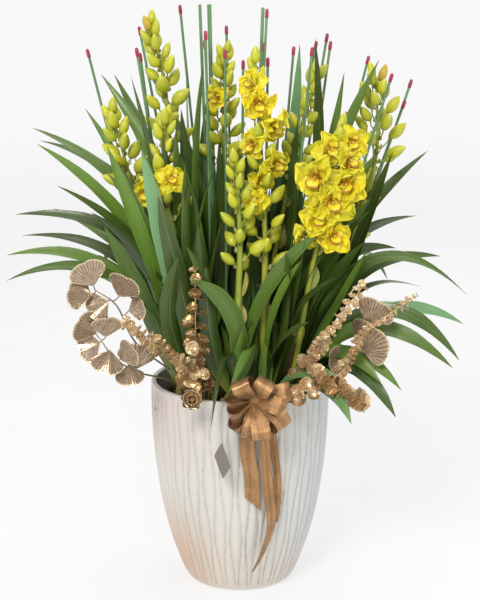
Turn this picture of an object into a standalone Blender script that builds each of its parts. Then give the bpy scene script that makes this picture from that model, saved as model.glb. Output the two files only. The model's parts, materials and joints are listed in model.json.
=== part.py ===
# Orchid in a vase: potted cymbidium orchids in a tall ribbed ceramic planter, with slender
# stakes, gold dried sprays, a satin bow and a hanging card tag.
# Units are metres, +Z is up and -Y is the front. The origin is the centre of the flat base.
import math

import bmesh
import bpy
from mathutils import Matrix, Vector

for old in list(bpy.data.objects):
    bpy.data.objects.remove(old)

OBJECT_NAME = "orchid_in_a_vase"
MM = 0.001
POT_HEIGHT = 0.410
POT_RADIUS = 0.176
POT_WALL = 0.010
POT_FLOOR = 0.016
POT_SIDES = 40
MIX_BELOW_RIM = 0.038
MIX_TOP = POT_HEIGHT - MIX_BELOW_RIM
DRAWN_RIM = 0.410
POT_LIFT = POT_HEIGHT - DRAWN_RIM
WALL_HEIGHTS = (POT_HEIGHT * 0.985, POT_HEIGHT * 0.74, POT_HEIGHT * 0.45, POT_HEIGHT * 0.19, POT_FLOOR)
FIT_GAP = 0.0004
PLANT_WIDTH = 0.900
PLANT_HEIGHT = 1.160
LEAF_THICK = 0.0022
INNER_WIDTH = 0.026
LEAF_CHANNEL = 0.22
LEAF_STATIONS = 7
BULB_RADIUS = 0.017
BULB_HEIGHT = 0.060
BULB_SIDES = 7
STEM_RADIUS = 0.0060
STEM_STATIONS = 9
BUD_LENGTH = 0.050
BUD_RADIUS = 0.0090
FLOWER_RADIUS = 0.032
STAKE_RADIUS = 0.0026
STAKE_TIP_RADIUS = 0.0050
STAKE_TIP_LENGTH = 0.018
RIBBON_WIDTH = 0.036
RIBBON_THICK = 0.0010
KNOT_RADIUS = 0.013
WIRE_RADIUS = 0.0012
TAG_SIDE = 0.050
TAG_THICK = 0.0012
THREAD_RADIUS = 0.0006
GOLD_LEAF_THICK = 0.0016

WIDE = PLANT_WIDTH / 0.900
TALL = PLANT_HEIGHT / 1.160

parts = bpy.data.collections.new(OBJECT_NAME)
bpy.context.scene.collection.children.link(parts)
cutters = bpy.data.collections.new(OBJECT_NAME + "_cutters")
bpy.context.scene.collection.children.link(cutters)
cutters.hide_render = True


def placed(x, y, z):
    """A point of the plant, from millimetres in a planter of the drawn height, at the present sizes."""
    height = z * MM + POT_LIFT
    rise = max(0.0, height - MIX_TOP)
    low = min(height, MIX_TOP)
    return Vector((x * MM * WIDE, y * MM * WIDE, low + rise * TALL))


def material_of(name, colour, metallic, roughness):
    mat = bpy.data.materials.new(name + "_finish")
    mat.use_nodes = True
    shader = mat.node_tree.nodes["Principled BSDF"]
    shader.inputs["Base Color"].default_value = (*colour, 1.0)
    shader.inputs["Metallic"].default_value = metallic
    shader.inputs["Roughness"].default_value = roughness
    return mat


LOOKS = {
    "ceramic": ((0.78, 0.75, 0.70), 0.0, 0.35),
    "mix": ((0.09, 0.06, 0.04), 0.0, 0.9),
    "leaf": ((0.09, 0.16, 0.03), 0.0, 0.45),
    "spike": ((0.60, 0.58, 0.06), 0.0, 0.45),
    "stake": ((0.16, 0.30, 0.14), 0.0, 0.5),
    "gold": ((0.62, 0.44, 0.20), 0.8, 0.35),
    "satin": ((0.45, 0.27, 0.12), 0.3, 0.35),
    "card": ((0.22, 0.19, 0.17), 0.0, 0.7),
    "thread": ((0.40, 0.33, 0.24), 0.0, 0.8),
}


def body(name, look, shells, into=parts):
    """One object from a list of (points, faces) shells."""
    mesh = bpy.data.meshes.new(name)
    points = []
    faces = []
    for shell_points, shell_faces in shells:
        start = len(points)
        points += shell_points
        faces += [[start + i for i in face] for face in shell_faces]
    mesh.from_pydata([tuple(p) for p in points], [], faces)
    tidy = bmesh.new()
    tidy.from_mesh(mesh)
    bmesh.ops.recalc_face_normals(tidy, faces=tidy.faces)
    tidy.to_mesh(mesh)
    tidy.free()
    obj = bpy.data.objects.new(name, mesh)
    into.objects.link(obj)
    if into is cutters:
        obj.display_type = "WIRE"
    colour, metallic, roughness = LOOKS[look]
    mesh.materials.append(material_of(name, colour, metallic, roughness))
    return obj


def boolean(obj, operation, others):
    """Joins or cuts obj by every object of a helper collection."""
    group = bpy.data.collections.new(obj.name + "_" + operation.lower())
    cutters.children.link(group)
    for other in others:
        cutters.objects.unlink(other)
        group.objects.link(other)
        other.display_type = "WIRE"
    group.hide_render = True
    change = obj.modifiers.new(operation.title(), "BOOLEAN")
    change.operation = operation
    change.operand_type = "COLLECTION"
    change.collection = group
    change.solver = "EXACT"
    return change


def grown(name, look, shells):
    """One body that joins overlapping closed shells."""
    obj = body(name, look, shells[:1])
    if len(shells) > 1:
        others = []
        for number, shell in enumerate(shells[1:]):
            others.append(body(f"{name}_shell_{number}", look, [shell], cutters))
        boolean(obj, "UNION", others)
    return obj


def turned(name, look, profile, sides):
    """A closed solid turned about Z, from (radius, height) pairs down its outside and back up."""
    mesh = bpy.data.meshes.new(name)
    line = [(radius, 0.0, height) for radius, height in profile]
    mesh.from_pydata(line, [(i, i + 1) for i in range(len(line) - 1)], [])
    colour, metallic, roughness = LOOKS[look]
    mesh.materials.append(material_of(name, colour, metallic, roughness))
    obj = bpy.data.objects.new(name, mesh)
    parts.objects.link(obj)
    turn = obj.modifiers.new("Turn", "SCREW")
    turn.steps = sides
    turn.render_steps = sides
    turn.use_merge_vertices = True
    turn.merge_threshold = 0.0001
    return obj


def shell_of(made):
    """(points, faces) of a bmesh, which is then freed."""
    made.verts.index_update()
    points = [vert.co.copy() for vert in made.verts]
    faces = [[vert.index for vert in face.verts] for face in made.faces]
    made.free()
    return points, faces


def from_curve(curve, place=None):
    """The closed mesh of a curve with a bevel or an extrusion, as a shell."""
    guide = bpy.data.objects.new("guide", curve)
    mesh = bpy.data.meshes.new_from_object(guide)
    made = bmesh.new()
    made.from_mesh(mesh)
    bmesh.ops.remove_doubles(made, verts=made.verts, dist=0.00001)
    if place is not None:
        bmesh.ops.transform(made, matrix=place, verts=made.verts)
    bpy.data.objects.remove(guide)
    bpy.data.curves.remove(curve)
    bpy.data.meshes.remove(mesh)
    return shell_of(made)


def skinned(rings, end_point=None, split=False):
    """A closed shell over rings of equal count, with a flat start and a flat or pointed end. With
    split, each four-sided face is cut from the even corner of its lower ring, as both sides of a
    blade need."""
    sides = len(rings[0])
    points = [p for ring in rings for p in ring]
    faces = []
    for number in range(len(rings) - 1):
        low = number * sides
        high = low + sides
        for side in range(sides):
            after = (side + 1) % sides
            corners = [low + side, low + after, high + after, high + side]
            if not split:
                faces.append(corners)
            elif side % 2 == 0:
                faces += [[corners[0], corners[1], corners[2]], [corners[0], corners[2], corners[3]]]
            else:
                faces += [[corners[1], corners[2], corners[3]], [corners[1], corners[3], corners[0]]]
    last = (len(rings) - 1) * sides
    faces.append(list(range(sides))[::-1])
    if end_point is None:
        faces.append([last + s for s in range(sides)])
    else:
        points.append(end_point)
        faces += [[len(points) - 1, last + s, last + (s + 1) % sides] for s in range(sides)]
    return points, faces


def along(path, t):
    """A point on the smooth curve through the points of the path, for t from 0 to 1."""
    last = len(path) - 1
    place = min(max(t, 0.0), 1.0) * last
    i = min(int(place), last - 1)
    f = place - i
    before = path[i - 1] if i > 0 else path[i] * 2 - path[i + 1]
    after = path[i + 2] if i + 2 <= last else path[i + 1] * 2 - path[i]
    a, b = path[i], path[i + 1]
    bend = (b - before) * 0.5 * f
    bend += (before * 2 - a * 5 + b * 4 - after) * 0.5 * f * f
    bend += (a * 3 - b * 3 + after - before) * 0.5 * f * f * f
    return a + bend


def on_line(points, t):
    """A point on the straight runs between points, for t from 0 to 1."""
    place = min(max(t, 0.0), 1.0) * (len(points) - 1)
    i = min(int(place), len(points) - 2)
    return points[i].lerp(points[i + 1], place - i)


def arc(base, middle, tip, t):
    """A point on the even arc from base through middle to tip."""
    lower = (middle - base).length
    share = lower / (lower + (tip - middle).length)
    pull = middle - base * (1 - share) ** 2 - tip * share * share
    pull /= 2 * share * (1 - share)
    return base * (1 - t) ** 2 + pull * 2 * t * (1 - t) + tip * t * t


def tube(path, radii, roundness=1):
    """A round rod along a list of points, with one radius each. Roundness 0 gives four sides."""
    curve = bpy.data.curves.new("guide", "CURVE")
    curve.dimensions = "3D"
    curve.bevel_depth = MM
    curve.bevel_resolution = roundness
    curve.use_fill_caps = True
    spline = curve.splines.new("POLY")
    spline.points.add(len(path) - 1)
    for point, place, radius in zip(spline.points, path, radii):
        point.co = (*place, 1.0)
        point.radius = radius / MM
    return from_curve(curve)


def plate(outline, thick, centre, right, out):
    """A flat plate of even thickness with an outline given in its own plane."""
    curve = bpy.data.curves.new("guide", "CURVE")
    curve.dimensions = "2D"
    curve.fill_mode = "BOTH"
    curve.extrude = thick * 0.5
    spline = curve.splines.new("POLY")
    spline.points.add(len(outline) - 1)
    for point, (x, y) in zip(spline.points, outline):
        point.co = (x, y, 0.0, 1.0)
    spline.use_cyclic_u = True
    place = Matrix((right, out, right.cross(out))).transposed().to_4x4()
    place.translation = centre
    return from_curve(curve, place)


def ball(centre, radius):
    made = bmesh.new()
    bmesh.ops.create_icosphere(made, subdivisions=2, radius=radius)
    bmesh.ops.translate(made, vec=centre, verts=made.verts)
    return shell_of(made)


def blade(points, halves, across, channel, thick, pointed=True):
    """A thin channelled blade along points, with one half-width each and a width direction."""
    rings = []
    for number, point in enumerate(points):
        before = points[max(number - 1, 0)]
        after = points[min(number + 1, len(points) - 1)]
        ahead = (after - before).normalized()
        side_way = (across - ahead * across.dot(ahead)).normalized()
        face_way = side_way.cross(ahead)
        half = halves[number]
        edge = face_way * (half * channel)
        deep = face_way * (thick * 0.5)
        rings.append([
            point - side_way * half + edge,
            point - deep,
            point + side_way * half + edge,
            point + deep,
        ])
    if pointed:
        return skinned(rings[:-1], points[-1], True)
    return skinned(rings, None, True)


def leaf_shell(base, middle, tip, width, turn):
    """A strap leaf that leaves its bulb narrow, widens and ends in a point."""
    points = []
    halves = []
    for station in range(LEAF_STATIONS):
        t = station / (LEAF_STATIONS - 1)
        points.append(arc(base, middle, tip, t))
        spread = min(1.0, 0.45 + 1.6 * t) * min(1.0, 3.2 * (1.06 - t)) ** 0.6
        halves.append(width * 0.5 * spread)
    run = tip - base
    across = Vector((-run.y, run.x, 0.0)).normalized()
    across = Matrix.Rotation(math.radians(turn), 3, run.normalized()) @ across
    return blade(points, halves, across, LEAF_CHANNEL, LEAF_THICK)


def bulb_shell(x, y):
    """A pseudobulb that stands on the mix: a tall ball with a flat foot."""
    foot = Vector((x * MM * WIDE, y * MM * WIDE, MIX_TOP + FIT_GAP))
    made = bmesh.new()
    bmesh.ops.create_uvsphere(made, u_segments=BULB_SIDES, v_segments=5, radius=1.0)
    bmesh.ops.scale(made, vec=(BULB_RADIUS, BULB_RADIUS, BULB_HEIGHT * 0.66), verts=made.verts)
    bmesh.ops.translate(made, vec=foot + Vector((0, 0, BULB_HEIGHT * 0.42)), verts=made.verts)
    for vert in made.verts:
        vert.co.z = max(vert.co.z, foot.z)
    return shell_of(made)


# Each shoot: where its bulb stands, then its leaves by middle, tip, width and turn (mm, degrees).
SHOOTS = {
    "shoot_left_front": ((-112, -62), (
        ((-309, -120, 660), (-432, -160, 640), 25, -52),
        ((-288, -40, 657), (-446, -60, 667), 25, -52),
        ((-196, -118, 605), (-262, -150, 645), 25, -52),
    )),
    "shoot_left": ((-122, 18), (
        ((-275, 30, 665), (-432, 60, 685), 25, -52),
        ((-253, 0, 708), (-436, 10, 735), 25, -52),
        ((-247, 10, 755), (-388, 0, 874), 25, -52),
    )),
    "shoot_left_back": ((-98, 84), (
        ((-272, 110, 680), (-381, 170, 719), 25, -52),
        ((-257, 80, 800), (-416, 120, 890), 25, -52),
        ((-282, 140, 813), (-411, 200, 856), 25, -52),
        ((-240, 230, 650), (-300, 330, 560), 26, 10),
    )),
    "shoot_back_left": ((-48, 122), (
        ((-204, 150, 894), (-255, 200, 990), 29, -52),
        ((-107, 150, 908), (-108, 170, 1026), 27, 60),
        ((-110, 260, 720), (-140, 380, 640), 28, 0),
        ((-70, 250, 800), (-80, 350, 820), 26, 0),
    )),
    "shoot_centre_left": ((-62, 34), (
        ((-238, 69, 829), (-307, 112, 929), 25, -52),
        ((-214, 60, 923), (-270, 90, 999), 28, -52),
        ((-139, 60, 934), (-186, 80, 1017), 34, 60),
    )),
    "shoot_mid_left": ((-68, -38), (
        ((-232, -60, 725), (-342, -90, 808), 25, -52),
        ((-180, -34, 903), (-204, -44, 1006), 25, 50),
        ((-84, -42, 760), (-67, -50, 1035), 27, 60),
    )),
    "shoot_front_left": ((-62, -100), (
        ((-195, -146, 758), (-241, -165, 889), 36, -52),
        ((-150, -142, 750), (-180, -158, 882), 36, 70),
        ((-65, -150, 632), (-98, -190, 712), 24, 60),
        ((-75, -125, 740), (-29, -130, 892), 22, 60),
    )),
    "shoot_front": ((-6, -128), (
        ((-33, -170, 606), (-90, -205, 652), 34, 60),
        ((-22, -192, 505), (-54, -214, 372), 22, 30),
        ((18, -165, 512), (-20, -215, 440), 24, 30),
        ((81, -155, 668), (149, -195, 741), 30, 60),
    )),
    "shoot_front_right": ((52, -116), (
        ((77, -165, 616), (111, -185, 683), 30, 60),
        ((111, -160, 590), (176, -200, 655), 28, 50),
        ((84, -170, 534), (127, -195, 571), 28, 30),
        ((140, -172, 440), (202, -212, 388), 34, 0),
    )),
    "shoot_right_front": ((98, -78), (
        ((306, -80, 562), (416, -120, 478), 32, 52),
        ((235, -130, 545), (394, -190, 480), 32, 52),
        ((199, -125, 490), (300, -190, 440), 28, 52),
        ((305, -60, 667), (433, -90, 595), 25, 52),
    )),
    "shoot_right": ((134, 2), (
        ((292, 24, 643), (396, 50, 645), 25, 52),
        ((289, 8, 600), (358, 20, 588), 25, 20),
        ((340, 30, 547), (445, 40, 509), 25, 52),
        ((257, -20, 766), (290, -30, 862), 29, 52),
    )),
    "shoot_right_back": ((98, 76), (
        ((257, 140, 643), (322, 180, 635), 25, 52),
        ((273, 120, 692), (359, 150, 708), 25, 52),
        ((286, 90, 765), (374, 110, 846), 26, 52),
        ((250, 220, 620), (320, 310, 540), 26, 0),
    )),
    "shoot_centre_right": ((62, 6), (
        ((211, -10, 924), (261, -20, 1035), 31, 52),
        ((150, 2, 800), (141, -6, 1074), 31, 60),
        ((158, 36, 760), (201, 50, 1006), 22, 60),
    )),
    "shoot_back": ((37, 119), (
        ((92, 122, 740), (116, 130, 1054), 27, 60),
        ((72, 158, 690), (125, 190, 963), 27, 60),
        ((118, 246, 730), (175, 365, 690), 28, 0),
        ((16, 268, 690), (4, 388, 585), 28, 0),
    )),
}


# Each shoot's short inner leaves: turn from the outward bearing, share of the reach, height.
# The reach grows with the bulb's distance from the middle (degrees, mm).
INNER_LEAVES = ((38, 1.10, 690),)
INNER_REACH = 24
INNER_REACH_PER_RADIUS = 0.32


def leaf_base(spot, tip, rank):
    """Where a leaf leaves the bulb: on its own side of the neck, outer leaves lower."""
    foot = placed(spot[0], spot[1], (MIX_TOP - POT_LIFT) / MM)
    out = Vector((tip.x - foot.x, tip.y - foot.y, 0.0)).normalized()
    return foot + out * BULB_RADIUS * 0.42 + Vector((0, 0, BULB_HEIGHT * (0.50 + 0.06 * rank)))


def shoot(name, spot, leaves):
    shells = [bulb_shell(*spot)]
    for rank, (middle, tip, width, turn) in enumerate(leaves):
        base = leaf_base(spot, placed(*tip), rank)
        shells.append(leaf_shell(base, placed(*middle), placed(*tip), width * MM, turn))
    outward = math.atan2(spot[1], spot[0])
    full_reach = INNER_REACH + INNER_REACH_PER_RADIUS * math.hypot(*spot)
    for number, (swing, share, height) in enumerate(INNER_LEAVES):
        way = outward + math.radians(swing)
        reach = full_reach * share
        x, y = math.cos(way) * reach, math.sin(way) * reach
        middle = placed(spot[0] + x * 0.35, spot[1] + y * 0.35, (MIX_TOP - POT_LIFT) / MM * 0.4 + height * 0.6)
        tip = placed(spot[0] + x, spot[1] + y, height)
        base = leaf_base(spot, tip, len(leaves) + number)
        shells.append(leaf_shell(base, middle, tip, INNER_WIDTH, 25 + 30 * number))
    return grown(name, "leaf", shells)


# Each spike: points up its stem (mm), buds, open flowers, share of the stem left bare, first turn.
SPIKES = {
    "spike_left_top": (
        ((-96, 52), (-131, 4, 600), (-150, 6, 780), (-140, 10, 960), (-170, 10, 1095)), 11, 0, 0.66, 20),
    "spike_left_back": (((-132, 66), (-160, 30, 620), (-205, 14, 780), (-245, 28, 925)), 8, 0, 0.70, 60),
    "spike_left_front": (((-88, -64), (-105, -92, 640), (-140, -88, 790), (-140, -78, 925)), 9, 1, 0.55, 10),
    "spike_centre_back": (((-20, 74), (-28, 60, 700), (-32, 40, 880), (-30, 40, 1040)), 10, 0, 0.66, 40),
    "spike_centre": (((-20, -84), (-6, -138, 560), (0, -140, 720), (-8, -130, 850)), 8, 1, 0.62, 80),
    "spike_centre_yellow": (((38, -60), (44, -116, 560), (46, -108, 740), (28, -80, 1035)), 11, 3, 0.60, 0),
    "spike_centre_right": (((24, -3), (74, -24, 700), (108, 8, 850), (145, 36, 1000)), 8, 0, 0.62, 30),
    "spike_right_flowers": (
        ((90, -113), (130, -140, 640), (158, -145, 770), (178, -150, 915)), 2, 8, 0.56, 0),
    "spike_right_top": (((126, 44), (225, 20, 710), (262, 10, 850), (260, 10, 985)), 11, 0, 0.62, 50),
    "spike_right_back": (((66, 50), (145, 58, 620), (212, 62, 700), (248, 64, 790)), 6, 1, 0.66, 15),
}
FLOWER_TURNS = (-95, -40, -150, -70, -120, -20, -165, -60, -110)


def bud_shell(start, way, length, radius):
    """A pointed bud on a short stalk that starts inside the stem."""
    path = [start, start + way * length * 0.4, start + way * length * 0.70, start + way * length]
    return tube(path, [0.0013, 0.0013, radius, 0.0006], 0)


def flower_shells(start, way, radius):
    """An open flower: five joined tepals on a stalk that ends in the column, and a lip."""
    centre = start + way * 0.022
    side_way = way.cross(Vector((0, 0, 1))).normalized()
    high_way = side_way.cross(way)
    made = bmesh.new()
    bmesh.ops.create_cone(made, segments=10, radius1=0.003, radius2=radius, depth=0.007,
                          cap_ends=True, cap_tris=True)
    for vert in made.verts:
        step = round(math.atan2(vert.co.y, vert.co.x) / math.radians(36))
        if vert.co.z > 0 and step % 2 == 0:
            vert.co.xy *= 0.5
    place = Matrix((side_way, high_way, way)).transposed().to_4x4()
    place.translation = centre
    bmesh.ops.transform(made, matrix=place, verts=made.verts)
    column = tube([start, centre + way * 0.014], [0.0016, 0.0055], 0)
    lip = [centre + way * 0.007]
    lip.append(centre + way * 0.022 - high_way * 0.008)
    lip.append(centre + way * 0.026 - high_way * 0.022)
    return [shell_of(made), column, blade(lip, [0.003, 0.008, 0.001], side_way, 0.0, 0.0026)]


def spike(name, spot, knots, buds, flowers, bare, first):
    foot = Vector((spot[0] * MM * WIDE, spot[1] * MM * WIDE, MIX_TOP + FIT_GAP))
    path = [foot] + [placed(*knot) for knot in knots]
    stem = [along(path, i / (STEM_STATIONS - 1)) for i in range(STEM_STATIONS)]
    radii = [STEM_RADIUS * (1.0 - 0.55 * i / (STEM_STATIONS - 1)) for i in range(STEM_STATIONS)]
    upright = foot + Vector((0, 0, 2 * STEM_RADIUS))
    shells = [tube([foot, upright] + stem[1:], radii[:1] + radii)]
    total = buds + flowers
    for number in range(total):
        share = number / max(1, total - 1)
        t = bare + (0.985 - bare) * share
        start = on_line(stem, t)
        ahead = (on_line(stem, t + 0.02) - on_line(stem, t - 0.02)).normalized()
        turn = math.radians(first + 137.5 * number)
        if number < flowers:
            turn = math.radians(FLOWER_TURNS[(number + first) % len(FLOWER_TURNS)])
        out = Vector((math.cos(turn), math.sin(turn), 0.0))
        out = (out - ahead * out.dot(ahead)).normalized()
        if number < flowers:
            shells += flower_shells(start, (out + ahead * 0.15).normalized(), FLOWER_RADIUS)
            continue
        size = 1.0 - 0.35 * share
        way = (out * (1.1 - 0.6 * share) + ahead).normalized()
        shells.append(bud_shell(start, way, BUD_LENGTH * size, BUD_RADIUS * size))
    tip = stem[-1]
    ahead = (stem[-1] - stem[-2]).normalized()
    shells.append(bud_shell(tip - ahead * 0.004, ahead, BUD_LENGTH * 0.7, BUD_RADIUS * 0.7))
    return grown(name, "spike", shells)


# Each stake: where it enters the mix and where its coloured tip ends (mm).
STAKES = {
    "stake_01": ((-128, 42), (-295, 60, 1050)),
    "stake_02": ((-88, 8), (-194, -30, 1058)),
    "stake_03": ((-70, 60), (-196, 90, 1091)),
    "stake_04": ((-40, 84), (-117, 100, 1132)),
    "stake_05": ((-33, 2), (-67, 14, 1070)),
    "stake_06": ((-4, 100), (-27, 130, 1091)),
    "stake_07": ((4, 8), (6, 0, 1033)),
    "stake_08": ((20, -20), (51, 10, 1128)),
    "stake_09": ((46, 52), (104, 60, 1055)),
    "stake_10": ((84, 30), (175, 60, 1065)),
    "stake_11": ((84, 98), (255, 130, 1032)),
    "stake_12": ((100, -28), (284, -50, 1012)),
    "stake_13": ((140, 58), (335, 80, 990)),
}
STAKE_DEPTH = 0.050


def stake_path(spot, tip):
    top = placed(*tip)
    mouth = Vector((spot[0] * MM * WIDE, spot[1] * MM * WIDE, MIX_TOP))
    way = (top - mouth).normalized()
    return mouth - way * STAKE_DEPTH, mouth, top, way


def stake(name, spot, tip):
    low, mouth, top, way = stake_path(spot, tip)
    neck = top - way * STAKE_TIP_LENGTH
    path = [low, neck, neck + way * 0.002, top - way * 0.004, top]
    radii = [STAKE_RADIUS, STAKE_RADIUS, STAKE_TIP_RADIUS, STAKE_TIP_RADIUS, STAKE_TIP_RADIUS * 0.5]
    hole_path = [low - way * FIT_GAP, mouth + way * 0.010]
    hole = body(name + "_hole", "mix", [tube(hole_path, [STAKE_RADIUS + FIT_GAP] * 2)], cutters)
    return body(name, "stake", [tube(path, radii)]), hole


def pot_profile():
    """Outside of the planter from the base to the rim, as (height share, radius share)."""
    return ((0.0, 0.560), (0.012, 0.600), (0.065, 0.665), (0.19, 0.775), (0.33, 0.860), (0.52, 0.935),
            (0.70, 0.980), (0.85, 1.0), (0.985, 1.0), (1.0, 0.985))


def planter():
    outside = [(share * POT_RADIUS, rise * POT_HEIGHT) for rise, share in pot_profile()]
    inside = [(POT_RADIUS * 0.985 - POT_WALL * 0.55, POT_HEIGHT)]
    for height in WALL_HEIGHTS:
        inside.append((inner_radius(height), height))
    profile = [(0.0, 0.0)] + outside + inside + [(0.0, POT_FLOOR)]
    return turned("planter", "ceramic", profile[::-1], POT_SIDES)


def inner_radius(height):
    """The planter's inner radius at a height."""
    line = pot_profile()
    for (low, small), (high, large) in zip(line, line[1:]):
        if low * POT_HEIGHT <= height <= high * POT_HEIGHT:
            share = (height / POT_HEIGHT - low) / (high - low)
            return (small + (large - small) * share) * POT_RADIUS - POT_WALL
    return POT_RADIUS - POT_WALL


def potting_mix(holes):
    """The plug of potting mix, which fills the planter up to the bulbs, with a hole for each stick."""
    rings = [(0.0, POT_FLOOR + FIT_GAP)]
    for height in WALL_HEIGHTS[::-1][:-1]:
        rings.append((inner_radius(height) - FIT_GAP, max(height, POT_FLOOR + FIT_GAP)))
    low, high = inner_radius(WALL_HEIGHTS[1]), inner_radius(WALL_HEIGHTS[0])
    share = (MIX_TOP - WALL_HEIGHTS[1]) / (WALL_HEIGHTS[0] - WALL_HEIGHTS[1])
    rings.append((low + (high - low) * share - FIT_GAP, MIX_TOP))
    rings.append((0.0, MIX_TOP))
    obj = turned("potting_mix", "mix", rings[::-1], POT_SIDES)
    boolean(obj, "DIFFERENCE", holes)
    return obj


def petal(centre, out, up, length, width, cup):
    """A flat gold petal or leaf from its centre outwards."""
    across = up.cross(out).normalized()
    path = [centre, centre + out * length * 0.55 + up * length * cup, centre + out * length]
    return blade(path, [width * 0.22, width * 0.5, width * 0.1], across, 0.12, GOLD_LEAF_THICK)


def fan(centre, out, up, length, spread):
    """A fan leaf: a thin plate with a round, notched end that widens from its stalk."""
    outline = [(0.002, -0.004), (-0.002, -0.004)]
    for number in range(7):
        turn = math.radians(spread * (number / 6 - 0.5))
        reach = length * (0.86 if number == 3 else 1.0)
        outline.append((reach * math.sin(turn), reach * math.cos(turn)))
    return plate(outline, GOLD_LEAF_THICK, centre, out.cross(up), out)


def gold_stick(spot, knots):
    """The path of a gold stem from below the mix to its end, and its hole."""
    mouth = Vector((spot[0] * MM * WIDE, spot[1] * MM * WIDE, MIX_TOP))
    low = mouth - Vector((0, 0, 0.020))
    clear = mouth + Vector((0, 0, POT_HEIGHT - MIX_TOP + 0.012))
    return [low, mouth, clear] + [placed(*knot) for knot in knots]


GOLD_STEM_RADIUS = 0.0018
GOLD_STEM_STATIONS = 10


def gold_stem(path):
    stations = [i / (GOLD_STEM_STATIONS - 1) for i in range(GOLD_STEM_STATIONS)]
    return [path[0]] + [along(path[1:], t) for t in stations]


def gold_piece(name, path, shells):
    radius = GOLD_STEM_RADIUS
    stem = gold_stem(path)
    rod = tube(stem, [radius] * len(stem))
    way = (stem[1] - stem[0]).normalized()
    hole_path = [stem[0] - way * FIT_GAP, stem[1] + way * 0.010]
    hole = body(name + "_hole", "mix", [tube(hole_path, [radius + FIT_GAP] * 2)], cutters)
    return grown(name, "gold", [rod] + shells), hole


DISC_FACING = Vector((0.0, -1.1, 0.25))


def disc_spray(name, spot, knots, count, big, small, bare):
    """A stem with round leaves in pairs that shrink towards the tip."""
    path = gold_stick(spot, knots)
    stem = gold_stem(path)[1:]
    shells = []
    for number in range(count):
        share = number / (count - 1)
        t = bare + (0.99 - bare) * share
        centre = on_line(stem, t)
        ahead = (on_line(stem, t + 0.02) - on_line(stem, t - 0.02)).normalized()
        turn = math.radians(90.0 * number + 20.0)
        side_way = ahead.cross(Vector((0, 1, 0.2))).normalized()
        out = side_way * math.cos(turn) + ahead.cross(side_way) * math.sin(turn)
        size = (big + (small - big) * share) * MM
        facing = (ahead + DISC_FACING).normalized()
        out = (out - facing * out.dot(facing)).normalized()
        shells.append(petal(centre - out * 0.001, out, facing, size, size * 1.3, 0.12))
    return gold_piece(name, path, shells)


def gold_pieces():
    made = []
    up = Vector((0.1, -0.85, 0.5)).normalized()

    def fan_piece(name, spot, knots, leaves):
        path = gold_stick(spot, knots)
        shells = []
        for (x, y, z), bearing, length, spread in leaves:
            turn = math.radians(bearing)
            out = Vector((math.cos(turn), -0.1, math.sin(turn))).normalized()
            facing = (up - out * up.dot(out)).normalized()
            shells.append(fan(placed(x, y, z), out, facing, length * MM, spread))
        made.append(gold_piece(name, path, shells))

    fan_piece("gold_fan_upper", (-100, -96), ((-190, -170, 520), (-225, -195, 600), (-262, -205, 632)), (
        ((-262, -205, 632), 110, 46, 120),
        ((-240, -200, 612), -165, 50, 110),
        ((-218, -192, 590), 50, 40, 110)))
    fan_piece("gold_fan_lower", (-118, -92), ((-190, -178, 470), (-232, -200, 505), (-258, -210, 545)), (
        ((-258, -210, 545), 130, 44, 120),
        ((-244, -206, 522), -120, 44, 110),
        ((-197, -181, 475), 80, 54, 90)))
    fan_piece("gold_leaf_right", (128, -66), ((168, -125, 440), (203, -152, 480), (222, -165, 505)), (
        ((222, -165, 505), 60, 62, 120), ((205, -153, 482), 170, 36, 110)))
    made.append(disc_spray("gold_spray_dark", (-76, -126),
                           ((-80, -165, 460), (-82, -180, 540), (-82, -182, 665)), 10, 18, 9, 0.55))
    made.append(disc_spray("gold_petals", (-100, -110),
                           ((-97, -168, 455), (-97, -200, 482), (-147, -214, 528), (-211, -222, 580)),
                           9, 26, 19, 0.52))
    made.append(disc_spray("gold_spray_upper", (104, -104),
                           ((116, -150, 470), (144, -195, 520), (226, -222, 650)), 10, 21, 9, 0.45))
    made.append(disc_spray("gold_spray_right", (138, -50),
                           ((182, -186, 470), (230, -200, 550), (325, -190, 622)), 9, 20, 9, 0.50))
    made.append(disc_spray("gold_spray_low", (123, -91),
                           ((142, -205, 470), (185, -225, 448), (232, -240, 426)), 9, 21, 19, 0.52))
    path = gold_stick((-54, -136), ((-76, -180, 432), (-89, -204, 426)))
    made.append(gold_piece("gold_rosette", path, [ball(path[-1], 0.019)]))
    return made


KNOT = Vector((0.028, -0.205, POT_HEIGHT + 0.014))


def ribbon(name, points, halves, across):
    """A flat strip of ribbon along points: a grid laid on its path, made solid."""
    made = bmesh.new()
    bmesh.ops.create_grid(made, x_segments=1, y_segments=len(points) - 1, size=0.5)
    for vert in made.verts:
        number = round((vert.co.y + 0.5) * (len(points) - 1))
        before = points[max(number - 1, 0)]
        after = points[min(number + 1, len(points) - 1)]
        ahead = (after - before).normalized()
        side_way = (across - ahead * across.dot(ahead)).normalized()
        vert.co = points[number] + side_way * halves[number] * (1 if vert.co.x > 0 else -1)
    obj = body(name, "satin", [shell_of(made)])
    thick = obj.modifiers.new("Thickness", "SOLIDIFY")
    thick.thickness = RIBBON_THICK
    thick.offset = 0.0
    return obj


# Each loop: bearing in the bow's plane, lean to the front, length, opening, roll (mm, degrees).
LOOPS = {
    "bow_loop_top": (64, 26, 40, 34, 78),
    "bow_loop_back": (14, -4, 56, 30, 74),
    "bow_loop_left": (-122, 22, 58, 34, 48),
    "bow_loop_right": (-38, 26, 62, 36, 52),
    "bow_loop_small": (-80, 34, 64, 24, 80),
    "bow_loop_slender": (-166, 12, 42, 26, 66),
}


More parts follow.
